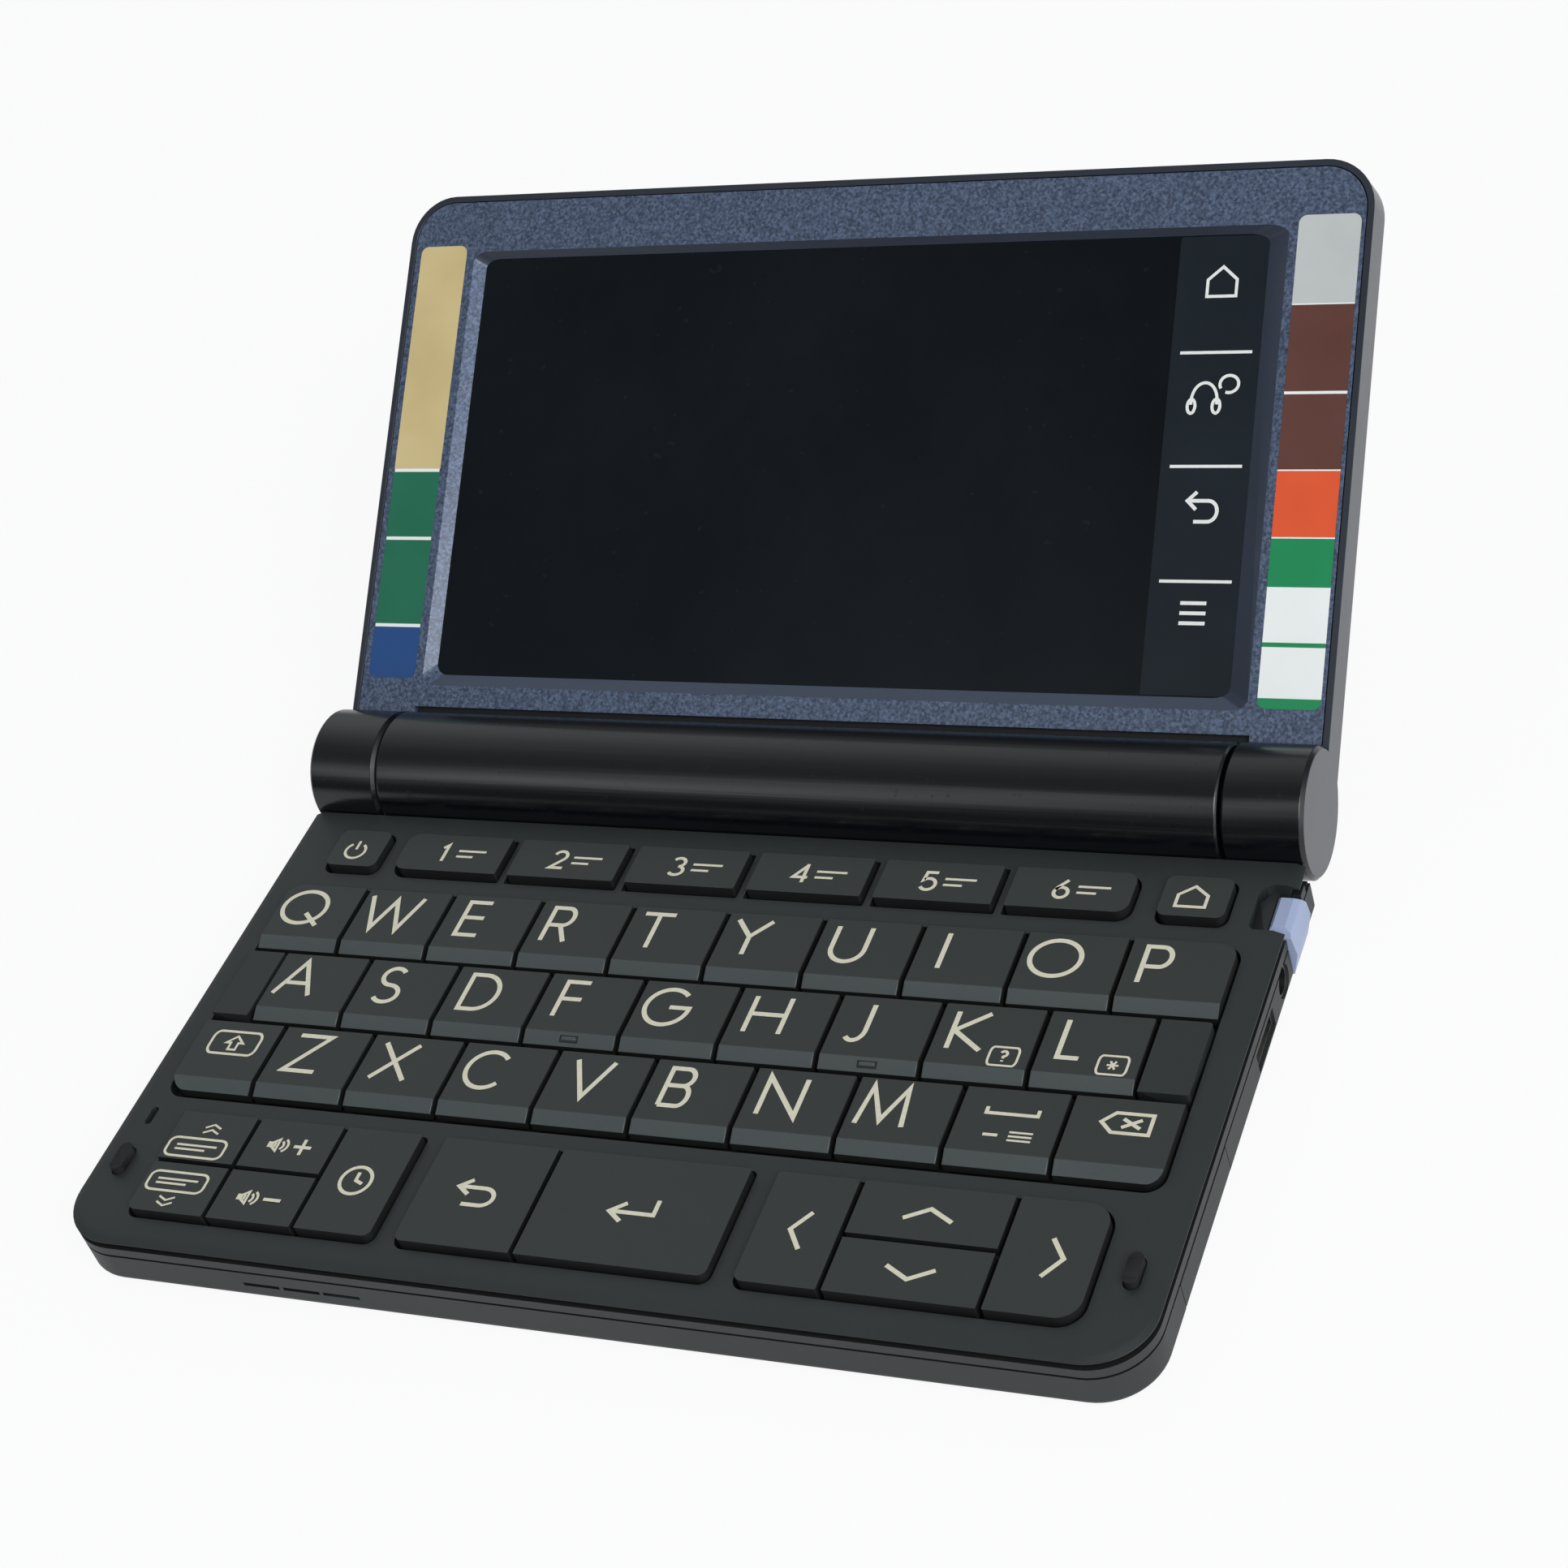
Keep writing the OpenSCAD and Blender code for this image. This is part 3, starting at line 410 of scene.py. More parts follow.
def board_material(group):
    """0 for the board itself, 2 for steel contacts and the socket's shell, 1 for the rest."""
    long, wide = (max(v.co[k] for v in group) - min(v.co[k] for v in group) for k in (0, 1))
    if long > BOARD_SPAN:
        return 0
    at_side = max(v.co.x for v in group) > SOCKET_SIDE
    return 2 if long < CONTACT_THICK or (at_side and wide > SOCKET_WIDE) else 1


shape = bmesh.new()
shape.from_mesh(frame["nodes"]["circuit_board"].data)
island = islands(shape)
for face in shape.faces:
    face.material_index = board_material(island[face.verts[0]])
board = made("board_parts", shape, board_mask, socket_plastic, contact_steel)
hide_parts("circuit_board")
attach(board, "base")
mat_rubber = moulded("mat_rubber", ink(150, 150, 146), ink(190, 190, 184), 0.6)
clothe("key_mat", mat_rubber)

# Keys. Caps of matte charcoal plastic, all at one height. The letter keys
# slope at the front. Legends are printed in cream ink, a hair above the cap.

key_plastic = moulded("key_plastic", ink(36, 40, 38), ink(52, 56, 54), 0.5)
cream_ink = Finish("cream_ink", IOR=1.45)
speck = cream_ink.noise(1800, 3)
cream_ink.feed(
    Base_Color=cream_ink.blend(ink(212, 207, 184), ink(236, 231, 210), speck),
    Roughness=speck * 0.2 + 0.45,
)

key_nodes = [name for name in frame["nodes"] if name.startswith(("key_", "rocker_")) and name != "key_mat"]
# Lighter plastic on the letter keys' front slopes: painted highlight.
slope_highlight_plastic = moulded("slope_highlight_plastic", ink(62, 68, 68), ink(78, 85, 85), 0.45)
# Near black plastic on the caps' sides: painted shade.
flank_shade_plastic = moulded("flank_shade_plastic", ink(14, 15, 15), ink(25, 27, 27), 0.6)


def on_slope(face):
    return -0.7 < face.normal.y < -0.2 and face.normal.z > 0.5


def on_flank(face):
    return abs(face.normal.z) < 0.3


CAP_RIM_Z = 7.1 * MM
BAR_LENGTH = (2.15, 2.25)
BAR_SHORT_EDGE = 0.5 * MM


def on_rim(edge):
    return edge.verts[0].co.z > CAP_RIM_Z


def beside_bar(edge):
    """The edges of a home key's cap, without those of its finger bar."""
    run = edge.verts[1].co - edge.verts[0].co
    return on_rim(edge) and not (run.length < BAR_SHORT_EDGE or between(abs(run.x), BAR_LENGTH))


for name in key_nodes:
    soften(
        name, key_plastic, 0.16 * MM, pick=beside_bar if name in ("key_f", "key_j") else on_rim,
        others=[(slope_highlight_plastic, on_slope), (flank_shade_plastic, on_flank)],
    )

LETTER_HEIGHT = 6.85
LETTER_STROKE = 0.68
LETTER_RISE = 1.52
INK_LIFT = 0.015
INK_STEP = 0.002


def arc(x, y, rx, ry, start, end, steps=18):
    """Points of an elliptical arc, angles in degrees."""
    turn = [math.radians(start + (end - start) * i / steps) for i in range(steps + 1)]
    return [(x + rx * math.cos(a), y + ry * math.sin(a)) for a in turn]


# Each letter: its width over its height, its place from the key's middle in
# millimetres, and its strokes inside -1 to 1 both ways
LETTERS = {
    "A": (0.92, -2.5, [[(-1, -1), (0, 1), (1, -1)], [(-0.64, -0.3), (0.64, -0.3)]]),
    "B": (0.58, -2.25, [
        [(-1, -1), (-1, 1), (0.2, 1)] + arc(0.2, 0.54, 0.7, 0.46, 90, -90) + [(-0.81, 0.08)],
        [(0.2, 0.08)] + arc(0.35, -0.46, 0.65, 0.54, 90, -90) + [(-1, -1)],
    ]),
    "C": (0.98, -1.9, [arc(0, 0, 1, 1, 42, 318, 36)]),
    "D": (0.79, -1.75, [[(-1, 1), (-0.2, 1)] + arc(-0.2, 0, 1.2, 1, 90, -90, 26) + [(-1, -1), (-1, 1)]]),
    "E": (0.55, -2.1, [[(1, 1), (-1, 1), (-1, -1), (1, -1)], [(-1, 0.06), (0.9, 0.06)]]),
    "F": (0.54, -2.2, [[(1, 1), (-1, 1), (-1, -1)], [(-1, 0.02), (0.85, 0.02)]]),
    "G": (1.02, -2.15, [arc(0, 0, 1, 1, 44, 360, 40) + [(0.1, 0)]]),
    "H": (0.8, -1.8, [[(-1, -1), (-1, 1)], [(1, -1), (1, 1)], [(-1, 0.02), (1, 0.02)]]),
    "I": (0.1, -3.0, [[(0, -1), (0, 1)]]),
    "J": (0.5, -2.95, [[(0.7, 1), (0.7, -0.4)] + arc(-0.2, -0.4, 0.9, 0.6, 0, -135, 16)]),
    "K": (0.71, -2.3, [[(-1, -1), (-1, 1)], [(0.95, 1), (-0.9, -0.02), (1, -1)]]),
    "L": (0.45, -2.65, [[(-1, 1), (-1, -1), (1, -1)]]),
    "M": (1.0, -2.15, [[(-1, -1), (-0.75, 1), (0, -0.75), (0.75, 1), (1, -1)]]),
    "N": (0.83, -1.9, [[(-1, -1), (-1, 1), (1, -1), (1, 1)]]),
    "O": (1.09, -1.95, [arc(0, 0, 1, 1, 0, 360, 48)]),
    "P": (0.55, -2.9, [[(-1, -1), (-1, 1), (0.2, 1)] + arc(0.2, 0.45, 0.8, 0.55, 90, -90) + [(-0.81, -0.1)]]),
    "Q": (1.12, -1.85, [arc(0, 0, 1, 1, 0, 360, 48), [(0.2, -0.35), (0.95, -1.08)]]),
    "R": (0.565, -2.75, [
        [(-1, -1), (-1, 1), (0.2, 1)] + arc(0.2, 0.48, 0.75, 0.52, 90, -90) + [(-0.81, -0.04)],
        [(0.1, -0.04), (1, -1)],
    ]),
    "S": (0.62, -2.0, [arc(0, 0.5, 0.85, 0.5, 35, 250, 20) + arc(0, -0.5, 0.95, 0.5, 75, -150, 22)]),
    "T": (0.74, -2.6, [[(-1, 1), (1, 1)], [(0, 1), (0, -1)]]),
    "U": (0.76, -2.1, [[(-1, 1), (-1, -0.25)] + arc(0, -0.25, 1, 0.75, 180, 360, 22) + [(1, 1)]]),
    "V": (0.88, -1.0, [[(-1, 1), (0, -1), (1, 1)]]),
    "W": (1.34, -1.3, [[(-1, 1), (-0.5, -1), (0, 0.8), (0.5, -1), (1, 1)]]),
    "X": (0.84, -1.85, [[(-1, 1), (1, -1)], [(1, 1), (-1, -1)]]),
    "Y": (0.81, -2.5, [[(-1, 1), (0, 0.05), (1, 1)], [(0, 0.05), (0, -1)]]),
    "Z": (0.8, -1.4, [[(-1, 1), (1, 1), (-1, -1), (1, -1)]]),
}


def ribbon(shape, points, width, height):
    """A flat line of even width through the points, with mitred corners."""
    points = [Vector(p) for i, p in enumerate(points) if not i or math.dist(p, points[i - 1]) > 1e-4]
    closed = (points[0] - points[-1]).length < 1e-6
    if closed:
        points = points[:-1]
    count = len(points)
    rails = []
    for i, here in enumerate(points):
        before = points[i - 1] if closed or i else None
        after = points[(i + 1) % count] if closed or i < count - 1 else None
        runs = [here - before] if before is not None else []
        runs += [after - here] if after is not None else []
        sides = [Vector((-run.y, run.x)).normalized() for run in runs]
        across = sum(sides, Vector((0, 0))).normalized()
        reach = min(width / 2 / max(across.dot(sides[0]), 0.2), width * 1.6)
        rails.append([shape.verts.new((*(here + across * reach * side), height)) for side in (1, -1)])
    pairs = range(count) if closed else range(count - 1)
    for i in pairs:
        a, b = rails[i], rails[(i + 1) % count]
        shape.faces.new((a[1], b[1], b[0], a[0]))


def print_ink(name, strokes, ride, finish=cream_ink, matrix=Matrix.Identity(4)):
    """Printed lines on a surface: strokes are (points, width) in millimetres, height first."""
    shape = bmesh.new()
    for layer, (height, points, width) in enumerate(strokes):
        ribbon(shape, points, width, height + layer * INK_STEP)
    bmesh.ops.scale(shape, vec=(MM, MM, MM), verts=shape.verts)
    bmesh.ops.recalc_face_normals(shape, faces=shape.faces)
    piece = made(name, shape, finish)
    piece.matrix_world = matrix
    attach(piece, ride)


def key_centre(node):
    low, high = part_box(node)
    return (low.x + high.x) / 2 / MM, (low.y + high.y) / 2 / MM, high.z / MM


def drawn(strokes, x, y, z, w, h, width):
    """Strokes drawn inside -1 to 1, placed and sized in millimetres."""
    return [(z, [(x + px * w / 2, y + py * h / 2) for px, py in points], width) for points in strokes]


key_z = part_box("key_q")[1].z / MM + INK_LIFT
for letter, (ratio, shift, strokes) in LETTERS.items():
    node = "key_" + letter.lower()
    x, y, _ = key_centre(node)
    tall = LETTER_HEIGHT - LETTER_STROKE
    print_ink(
        node + "_legend",
        drawn(strokes, x + shift, y + LETTER_RISE, key_z, tall * ratio, tall, LETTER_STROKE),
        node + "_body",
    )

# Painted shade: a dark outline round the raised bar on the two home keys, on the slope
SLOPE_RUN, SLOPE_DROP = 1.8, 0.9
BAR_FROM_FRONT = 0.925
BAR_OUTLINE = [(-1.25, -0.4), (1.25, -0.4), (1.25, 0.4), (-1.25, 0.4), (-1.25, -0.4)]
tilt = Matrix.Rotation(math.atan2(SLOPE_DROP, SLOPE_RUN), 4, "X")
below_top = (1 - BAR_FROM_FRONT / SLOPE_RUN) * SLOPE_DROP * MM
for node in ("key_f", "key_j"):
    low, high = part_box(node)
    spot = Vector(((low.x + high.x) / 2, low.y + BAR_FROM_FRONT * MM, high.z - below_top))
    print_ink(
        node + "_bar_shade_outline", [(0.02, BAR_OUTLINE, 0.2)], node + "_body", flank_shade_plastic,
        Matrix.Translation(spot) @ tilt,
    )

# Numbers on the six wide keys, each with a short bar beside it
DIGITS = {
    1: [[(-0.5, 0.6), (0.1, 1), (0.1, -1)]],
    2: [arc(0, 0.45, 0.85, 0.55, 165, -40, 16) + [(-0.9, -1), (0.95, -1)]],
    3: [arc(-0.1, 0.5, 0.8, 0.5, 150, -80, 16), arc(-0.1, -0.48, 0.95, 0.52, 85, -150, 18)],
    4: [[(0.45, 1), (-0.95, -0.4), (0.95, -0.4)], [(0.45, 1.15), (0.45, -1)]],
    5: [[(0.8, 1), (-0.6, 1), (-0.75, 0.1)] + arc(-0.05, -0.35, 0.95, 0.65, 130, -150, 18)],
    6: [[(0.5, 1), (-0.55, 0.15)] + arc(0, -0.42, 0.85, 0.58, 150, 510, 28)],
}
for number, strokes in DIGITS.items():
    node = f"key_wide_{number}"
    x, y, _ = key_centre(node)
    marks = drawn(strokes, x - 1.3, y, key_z, 2.2, 3.2, 0.5)
    marks += drawn([[(-1, 0.5), (1, 0.5)], [(-1, -0.5), (0.2, -0.5)]], x + 3, y, key_z, 4.4, 2.2, 0.4)
    print_ink(node + "_legend", marks, node + "_body")

# Plain symbols on the other keys
FRAME = [
    arc(0.76, 0.4, 0.24, 0.6, 0, 90, 6) + arc(-0.76, 0.4, 0.24, 0.6, 90, 180, 6)
    + arc(-0.76, -0.4, 0.24, 0.6, 180, 270, 6) + arc(0.76, -0.4, 0.24, 0.6, 270, 360, 6) + [(1, 0.4)]
]
HOME = [[(-0.75, -1), (-0.75, 0.1), (0, 0.95), (0.75, 0.1), (0.75, -1), (-0.75, -1)]]
POWER = [arc(0, -0.1, 0.85, 0.85, 125, 415, 26), [(0, 0.05), (0, 1)]]
SPEAKER = [
    [(-1, 0.25), (-0.6, 0.25)], [(-1, 0), (-0.5, 0)], [(-1, -0.25), (-0.6, -0.25)],
    [(-0.6, 0.3), (-0.1, 0.8), (-0.1, -0.8), (-0.6, -0.3), (-0.6, 0.3)], [(-0.35, 0.35), (-0.35, -0.35)],
    arc(-0.15, 0, 0.55, 0.7, -50, 50, 8), arc(-0.15, 0, 0.95, 1.1, -50, 50, 8),
]
PLUS = [[(-1, 0), (1, 0)], [(0, -1), (0, 1)]]
MINUS = [[(-1, 0), (1, 0)]]
UP = [[(-1, -0.5), (0, 0.5), (1, -0.5)]]
DOWN = [[(-1, 0.5), (0, -0.5), (1, 0.5)]]
LEFT = [[(0.5, 1), (-0.5, 0), (0.5, -1)]]
RIGHT = [[(-0.5, 1), (0.5, 0), (-0.5, -1)]]
RETURN = [
    [(-0.4, 1), (-1, 0.45), (-0.4, -0.1)],
    [(-1, 0.45), (0.4, 0.45)] + arc(0.4, -0.2, 0.6, 0.65, 90, -90, 12) + [(-0.5, -0.85)],
]
ENTER = [[(-0.35, 0.5), (-1, -0.15), (-0.35, -0.8)], [(-1, -0.15), (1, -0.15), (1, 0.9)]]
CLOCK = [arc(0, 0, 1, 1, 0, 360, 32), [(0, 0.6), (0, 0), (0.5, -0.2)]]
SHIFT = [[(0, 1), (-1, 0), (-0.45, 0), (-0.45, -1), (0.45, -1), (0.45, 0), (1, 0), (0, 1)]]
SPACE = [[(-1, 0.7), (-1, -0.5), (1, -0.5), (1, 0.7)]]
ERASE = [
    [(-1, 0), (-0.5, 0.9), (1, 0.9), (1, -0.9), (-0.5, -0.9), (-1, 0)],
    [(-0.15, 0.4), (0.6, -0.4)], [(0.6, 0.4), (-0.15, -0.4)],
]
STAR = [[(-1, 0), (1, 0)], [(-0.5, -0.87), (0.5, 0.87)], [(0.5, -0.87), (-0.5, 0.87)]]
QUERY = [arc(0, 0.5, 0.75, 0.5, 160, -60, 14) + [(0, -0.05), (0, -0.4)], [(0, -0.75), (0, -1.0)]]
LINES = [[(-1, 0.7), (1, 0.7)], [(-1, 0), (1, 0)], [(-1, -0.7), (1, -0.7)]]
ROWS = [[(-1, 0.6), (1, 0.6)], [(-1, -0.6), (0.5, -0.6)]]


def symbol(node, parts, label="_legend"):
    """Prints shapes on a key: (strokes, x and y from its centre, width, height, line)."""
    x, y, _ = key_centre(node)
    marks = []
    for strokes, dx, dy, w, h, line in parts:
        marks += drawn(strokes, x + dx, y + dy, key_z + len(marks) * INK_STEP, w, h, line)
    print_ink(node + label, marks, node + "_body")


symbol("key_power", [(POWER, -0.3, -0.4, 3.7, 3.5, 0.42)])
symbol("key_home", [(HOME, -0.35, 0, 5.2, 3.7, 0.45)])
symbol("key_k", [(FRAME, 3.3, -2.2, 3.8, 3.0, 0.32), (QUERY, 3.3, -2.2, 1.1, 1.7, 0.38)], "_mark")
symbol("key_l", [(FRAME, 3.3, -2.2, 3.8, 3.0, 0.32), (STAR, 3.3, -2.2, 1.5, 1.5, 0.3)], "_mark")
symbol("key_shift", [(FRAME, 0.2, 2.2, 7.6, 4.0, 0.4), (SHIFT, 0.2, 2.2, 2.6, 2.4, 0.35)])
symbol("key_space", [
    (SPACE, 0.2, 2.4, 6.6, 1.6, 0.5), (MINUS, -1.6, -1.4, 1.9, 1, 0.45), (LINES, 2.2, -1.4, 3.0, 1.8, 0.3),
])
symbol("key_delete", [(ERASE, 0.4, 2.2, 6.2, 3.4, 0.5)])
symbol("key_history", [(CLOCK, -0.4, 0, 4.4, 4.4, 0.5)])
symbol("key_back", [(RETURN, -0.1, 0, 5.4, 4.2, 0.6)])
symbol("key_enter", [(ENTER, 0, 0, 6.0, 4.4, 0.6)])
symbol("key_left", [(LEFT, 0.2, -0.1, 4.0, 5.6, 0.6)])
symbol("key_right", [(RIGHT, 0.8, -0.1, 4.0, 5.6, 0.6)])
symbol("rocker_updown", [(UP, -0.1, 4.2, 6.2, 3.4, 0.6), (DOWN, 0.2, -4.6, 6.2, 3.4, 0.6)])
symbol("rocker_volume", [
    (SPEAKER, -1.7, 4.3, 3.4, 2.4, 0.35), (PLUS, 1.9, 4.3, 2.6, 2.6, 0.5),
    (SPEAKER, -1.7, -4.6, 3.4, 2.4, 0.35), (MINUS, 1.9, -4.6, 2.6, 2.6, 0.5),
])
symbol("rocker_entry", [
    (UP, 0, 6.2, 2.4, 1.2, 0.3), (UP, 0, 5.3, 2.4, 1.2, 0.3),
    (FRAME, -0.9, 2.4, 8.8, 3.1, 0.38), (ROWS, -0.9, 2.4, 6.2, 1.2, 0.34),
    (FRAME, -0.6, -3.4, 8.8, 3.1, 0.38), (ROWS, -0.6, -3.4, 6.2, 1.2, 0.34),
    (DOWN, -0.7, -6.2, 2.4, 1.2, 0.3), (DOWN, -0.7, -7.1, 2.4, 1.2, 0.3),
])

# Lid cover. The back shell of the lid with the two end caps that turn on the
# pins, painted dark blue grey.

lid_paint = Finish("lid_paint", IOR=1.5, Coat_Weight=0.3, Coat_Roughness=0.15)
haze = lid_paint.noise(60, 5, 0.6)
flake = lid_paint.noise(7000, 2)
lid_paint.feed(
    Base_Color=lid_paint.blend(ink(24, 28, 36), ink(46, 52, 64), haze * 0.6 + flake * 0.4),
    Roughness=haze * 0.15 + 0.26,
    Normal=lid_paint.bump(flake, 0.00001, 0.2),
)
hinge = next(joint for joint in frame["joints"] if joint["name"] == "lid_hinge")
hinge_axis = Vector(hinge["pos_m"])
barrel_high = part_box("hinge_barrel")[1]
LID_ANGLE = math.pi - math.radians(hinge["range_deg"][1])
LID = Matrix.Translation(hinge_axis) @ Matrix.Rotation(LID_ANGLE, 4, "X")
FACE = -1.05
CAP_REACH = 8.8 * MM
TROUGH_REACH = 11.2
TROUGH_FLOOR = -7.3


def on_lid(point):
    """A point in the lid's own millimetres: across, up from the hinge axis, and out of the face."""
    return LID.inverted() @ point / MM


def on_cap(face):
    """The round caps, moulded in the barrel's glossy plastic."""
    middle = face.calc_center_median()
    reach = max(math.hypot(v.co.y - hinge_axis.y, v.co.z - hinge_axis.z) for v in face.verts)
    return abs(middle.x) > barrel_high.x and reach < CAP_REACH and abs(face.normal.x) < 0.9


def in_shaded_trough(face):
    """The hollow that clears the barrel, and the step over it, painted near black as shade."""
    across, rise, out = on_lid(face.calc_center_median())
    return abs(across) < barrel_high.x / MM and math.hypot(rise, out) < TROUGH_REACH and out > TROUGH_FLOOR


def ease_pocket(shape):
    """Draws the display pocket's two upper corners in to the rounded rim."""
    pocket, rim_centre, rim_radius = Vector((71.5, 86.0)), Vector((67.0, 81.0)), 6.1
    drawn_in = rim_centre + (pocket - rim_centre).normalized() * rim_radius
    for vert in shape.verts:
        place = on_lid(vert.co)
        if (Vector((abs(place.x), place.y)) - pocket).length < 0.05:
            moved = Vector((math.copysign(drawn_in.x, place.x), drawn_in.y, place.z))
            vert.co = LID @ (moved * MM)


soften(
    "lid_back_cover", lid_paint, 0.2 * MM, others=[(barrel_plastic, on_cap), (seam_shade_plastic, in_shaded_trough)],
    reshape=ease_pocket,
)

# Bezel. A thin plate painted metallic blue, with coarse sparkle, set into the
# lid cover. Strips of coloured film are stuck to both of its sides.

bezel_paint = Finish("bezel_paint", IOR=1.5, Coat_Weight=0.5, Coat_Roughness=0.12)
crystal = bezel_paint.add("TexVoronoi", inputs={"Vector": bezel_paint.place(), "Scale": 2600.0}, out=1)
grain = bezel_paint.noise(2300, 3, 0.6)
sparkle = bezel_paint.add(
    "ValToRGB", {"stops": [(0.36, (0.0, 0.0, 0.0)), (0.72, (1.0, 1.0, 1.0))]}, {"Fac": grain}
)
bezel_paint.feed(
    Base_Color=bezel_paint.blend(ink(50, 61, 82), ink(106, 123, 152), sparkle * 0.75 + (crystal > 0.6) * 0.3),
    Metallic=0.35,
    Roughness=grain * 0.3 + 0.3,
    Normal=bezel_paint.bump(grain, 0.00004, 0.6),
)
# Darker copies of the bezel's blue on the window's bevels: painted shade.
shaded_paint = moulded("shaded_paint", ink(27, 32, 43), ink(52, 61, 78), 0.42)
low_bevel_shade_paint = moulded("low_bevel_shade_paint", ink(42, 50, 64), ink(70, 82, 102), 0.42)
GLASS = FACE - 1.0
WINDOW_EDGE = Vector((60.9, 14.9, 77.8))
WINDOW_MIDDLE = 50
BEVEL = 1.8
LIP_INWARD, LIP_UPWARD, BRIM_DOWNWARD = 1.1, 0.5, 0.4
WINDOW_CORNER = 1.3 * MM
TOUCHES = 0.02


def on_far_bevel(face):
    """The window's right and upper bevels, given a darker paint as painted shade."""
    facing = LID.inverted().to_3x3() @ face.normal
    return facing.z > 0.3 and min(facing.x, facing.y) < -0.15


# The window's lower bevel, given a mid-dark paint as painted shade.
def on_low_bevel(face):
    facing = LID.inverted().to_3x3() @ face.normal
    return facing.z > 0.3 and facing.y > 0.15 and abs(facing.x) < 0.15


def finish_window(shape):
    """Gives the window its broad right bevel, its narrow upper one and round corners."""
    across, low, high = WINDOW_EDGE
    lip, brim = [], []
    for vert in shape.verts:
        place = on_lid(vert.co)
        upper = place.y > WINDOW_MIDDLE
        beside = abs(place.x) - across
        if abs(place.z - GLASS) < TOUCHES and abs(beside) < TOUCHES:
            lip.append(vert)
            place.x -= LIP_INWARD if place.x > 0 else 0.0
            place.y += LIP_UPWARD if upper else 0.0
        elif abs(place.z - FACE) < TOUCHES and abs(beside - BEVEL) < TOUCHES:
            if min(abs(place.y - low + BEVEL), abs(place.y - high - BEVEL)) < TOUCHES:
                brim.append(vert)
                place.y -= BRIM_DOWNWARD if upper else 0.0
        vert.co = LID @ (place * MM)
    mitres = [
        edge for edge in shape.edges
        if any(vert in lip for vert in edge.verts) and any(vert in brim for vert in edge.verts)
        and edge.calc_face_angle(0.0) > math.radians(20)
    ]
    bmesh.ops.bevel(shape, geom=mitres, offset=WINDOW_CORNER, segments=5, profile=0.5, affect="EDGES")


soften(
    "lid_bezel", bezel_paint, 0.2 * MM, reshape=finish_window,
    others=[(low_bevel_shade_paint, on_low_bevel), (shaded_paint, on_far_bevel)],
)


def thicken(shape, outline, depth):
    """A closed slab: a face through the outline, carried along Z by depth."""
    face = shape.faces.new([shape.verts.new(point) for point in outline])
    grown = bmesh.ops.extrude_face_region(shape, geom=[face])
    for item in grown["geom"]:
        if isinstance(item, bmesh.types.BMVert):
            item.co.z += depth
    bmesh.ops.recalc_face_normals(shape, faces=shape.faces)


def panel(name, x, v, height, radii, finish, thick=0.06):
    """A thin sheet on the lid, in millimetres: x and v ranges, height, upper and lower radius."""
    shape = bmesh.new()
    outline = []
    for turn in range(4):
        side = 1 if turn in (0, 3) else -1
        end = 1 if turn < 2 else -1
        radius = radii[0 if turn < 2 else 1]
        middle = (x[side > 0] - side * radius, v[end > 0] - end * radius)
        outline += arc(*middle, radius, radius, 90 * turn, 90 * turn + 90, 6)
    thicken(shape, [(px * MM, py * MM, height * MM) for px, py in outline], -thick * MM)
    piece = made(name, shape, finish)
    piece.matrix_world = LID
    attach(piece, "lid")
    return piece


def film(name, dark, light, metallic=0.0, roughness=0.3):
    """Printed adhesive film with a faint unevenness."""
    finish = Finish(name, IOR=1.5, Metallic=metallic, Coat_Weight=0.4, Coat_Roughness=0.1)
    cloud = finish.noise(90, 3)
    finish.feed(
        Base_Color=finish.blend(dark, light, cloud),
        Roughness=cloud * 0.1 + roughness,
        Normal=finish.bump(finish.noise(500, 2), 0.00001, 0.3),
    )
    return finish


gold = film("gold_film", ink(212, 188, 128), ink(238, 218, 164), 0.25, 0.35)
silver = film("silver_film", ink(194, 198, 197), ink(216, 219, 218), 0.2, 0.35)
green = film("green_film", ink(12, 98, 70), ink(24, 116, 86))
sea_green = film("sea_green_film", ink(0, 128, 74), ink(6, 146, 88))
blue = film("blue_film", ink(18, 62, 120), ink(28, 78, 140))
brown = film("brown_film", ink(84, 46, 38), ink(104, 60, 50))
orange = film("orange_film", ink(222, 78, 34), ink(240, 96, 48))
white = film("white_film", ink(238, 242, 240), ink(250, 252, 250))
FILM_TOP = FACE + 0.04
FILM_CORNER = 1.1
BLOCK_CORNER = 1.15
BLOCK_MARGIN = 0.05
left_x = (-72.0, -64.0)
right_x = (63.9, 72.5)
for side, (low_x, high_x), v_range, margin in (
    ("left", left_x, (14.2, 80.1), 0.15), ("right", right_x, (13.6, 80.2), 0.05),
):
    panel(
        f"{side}_film_base", (low_x + margin, high_x - margin), v_range, FILM_TOP,
        (FILM_CORNER, FILM_CORNER), white, thick=0.14,
    )
left_blocks = [(45.8, 80.2, gold), (35.4, 45.3, green), (22.2, 34.9, green), (14.1, 21.7, blue)]
right_blocks = [
    (68.1, 80.3, silver), (56.1, 67.9, brown), (45.5, 55.7, brown), (36.4, 45.3, orange),
    (29.7, 36.2, sea_green), (21.7, 22.3, sea_green), (13.5, 14.9, sea_green),
]
for side, (low_x, high_x), blocks in (("left", left_x, left_blocks), ("right", right_x, right_blocks)):
    inside = (low_x + BLOCK_MARGIN, high_x - BLOCK_MARGIN)
    for place, (low, high, finish) in enumerate(blocks):
        ends = [BLOCK_CORNER if place == end else 0.05 for end in (0, len(blocks) - 1)]
        panel(f"{side}_film_{place}", inside, (low, high), FILM_TOP + 0.02, ends, finish)

# Display. Dark glass over the panel, with a slightly paler touch strip on the
# right that carries four printed symbols.

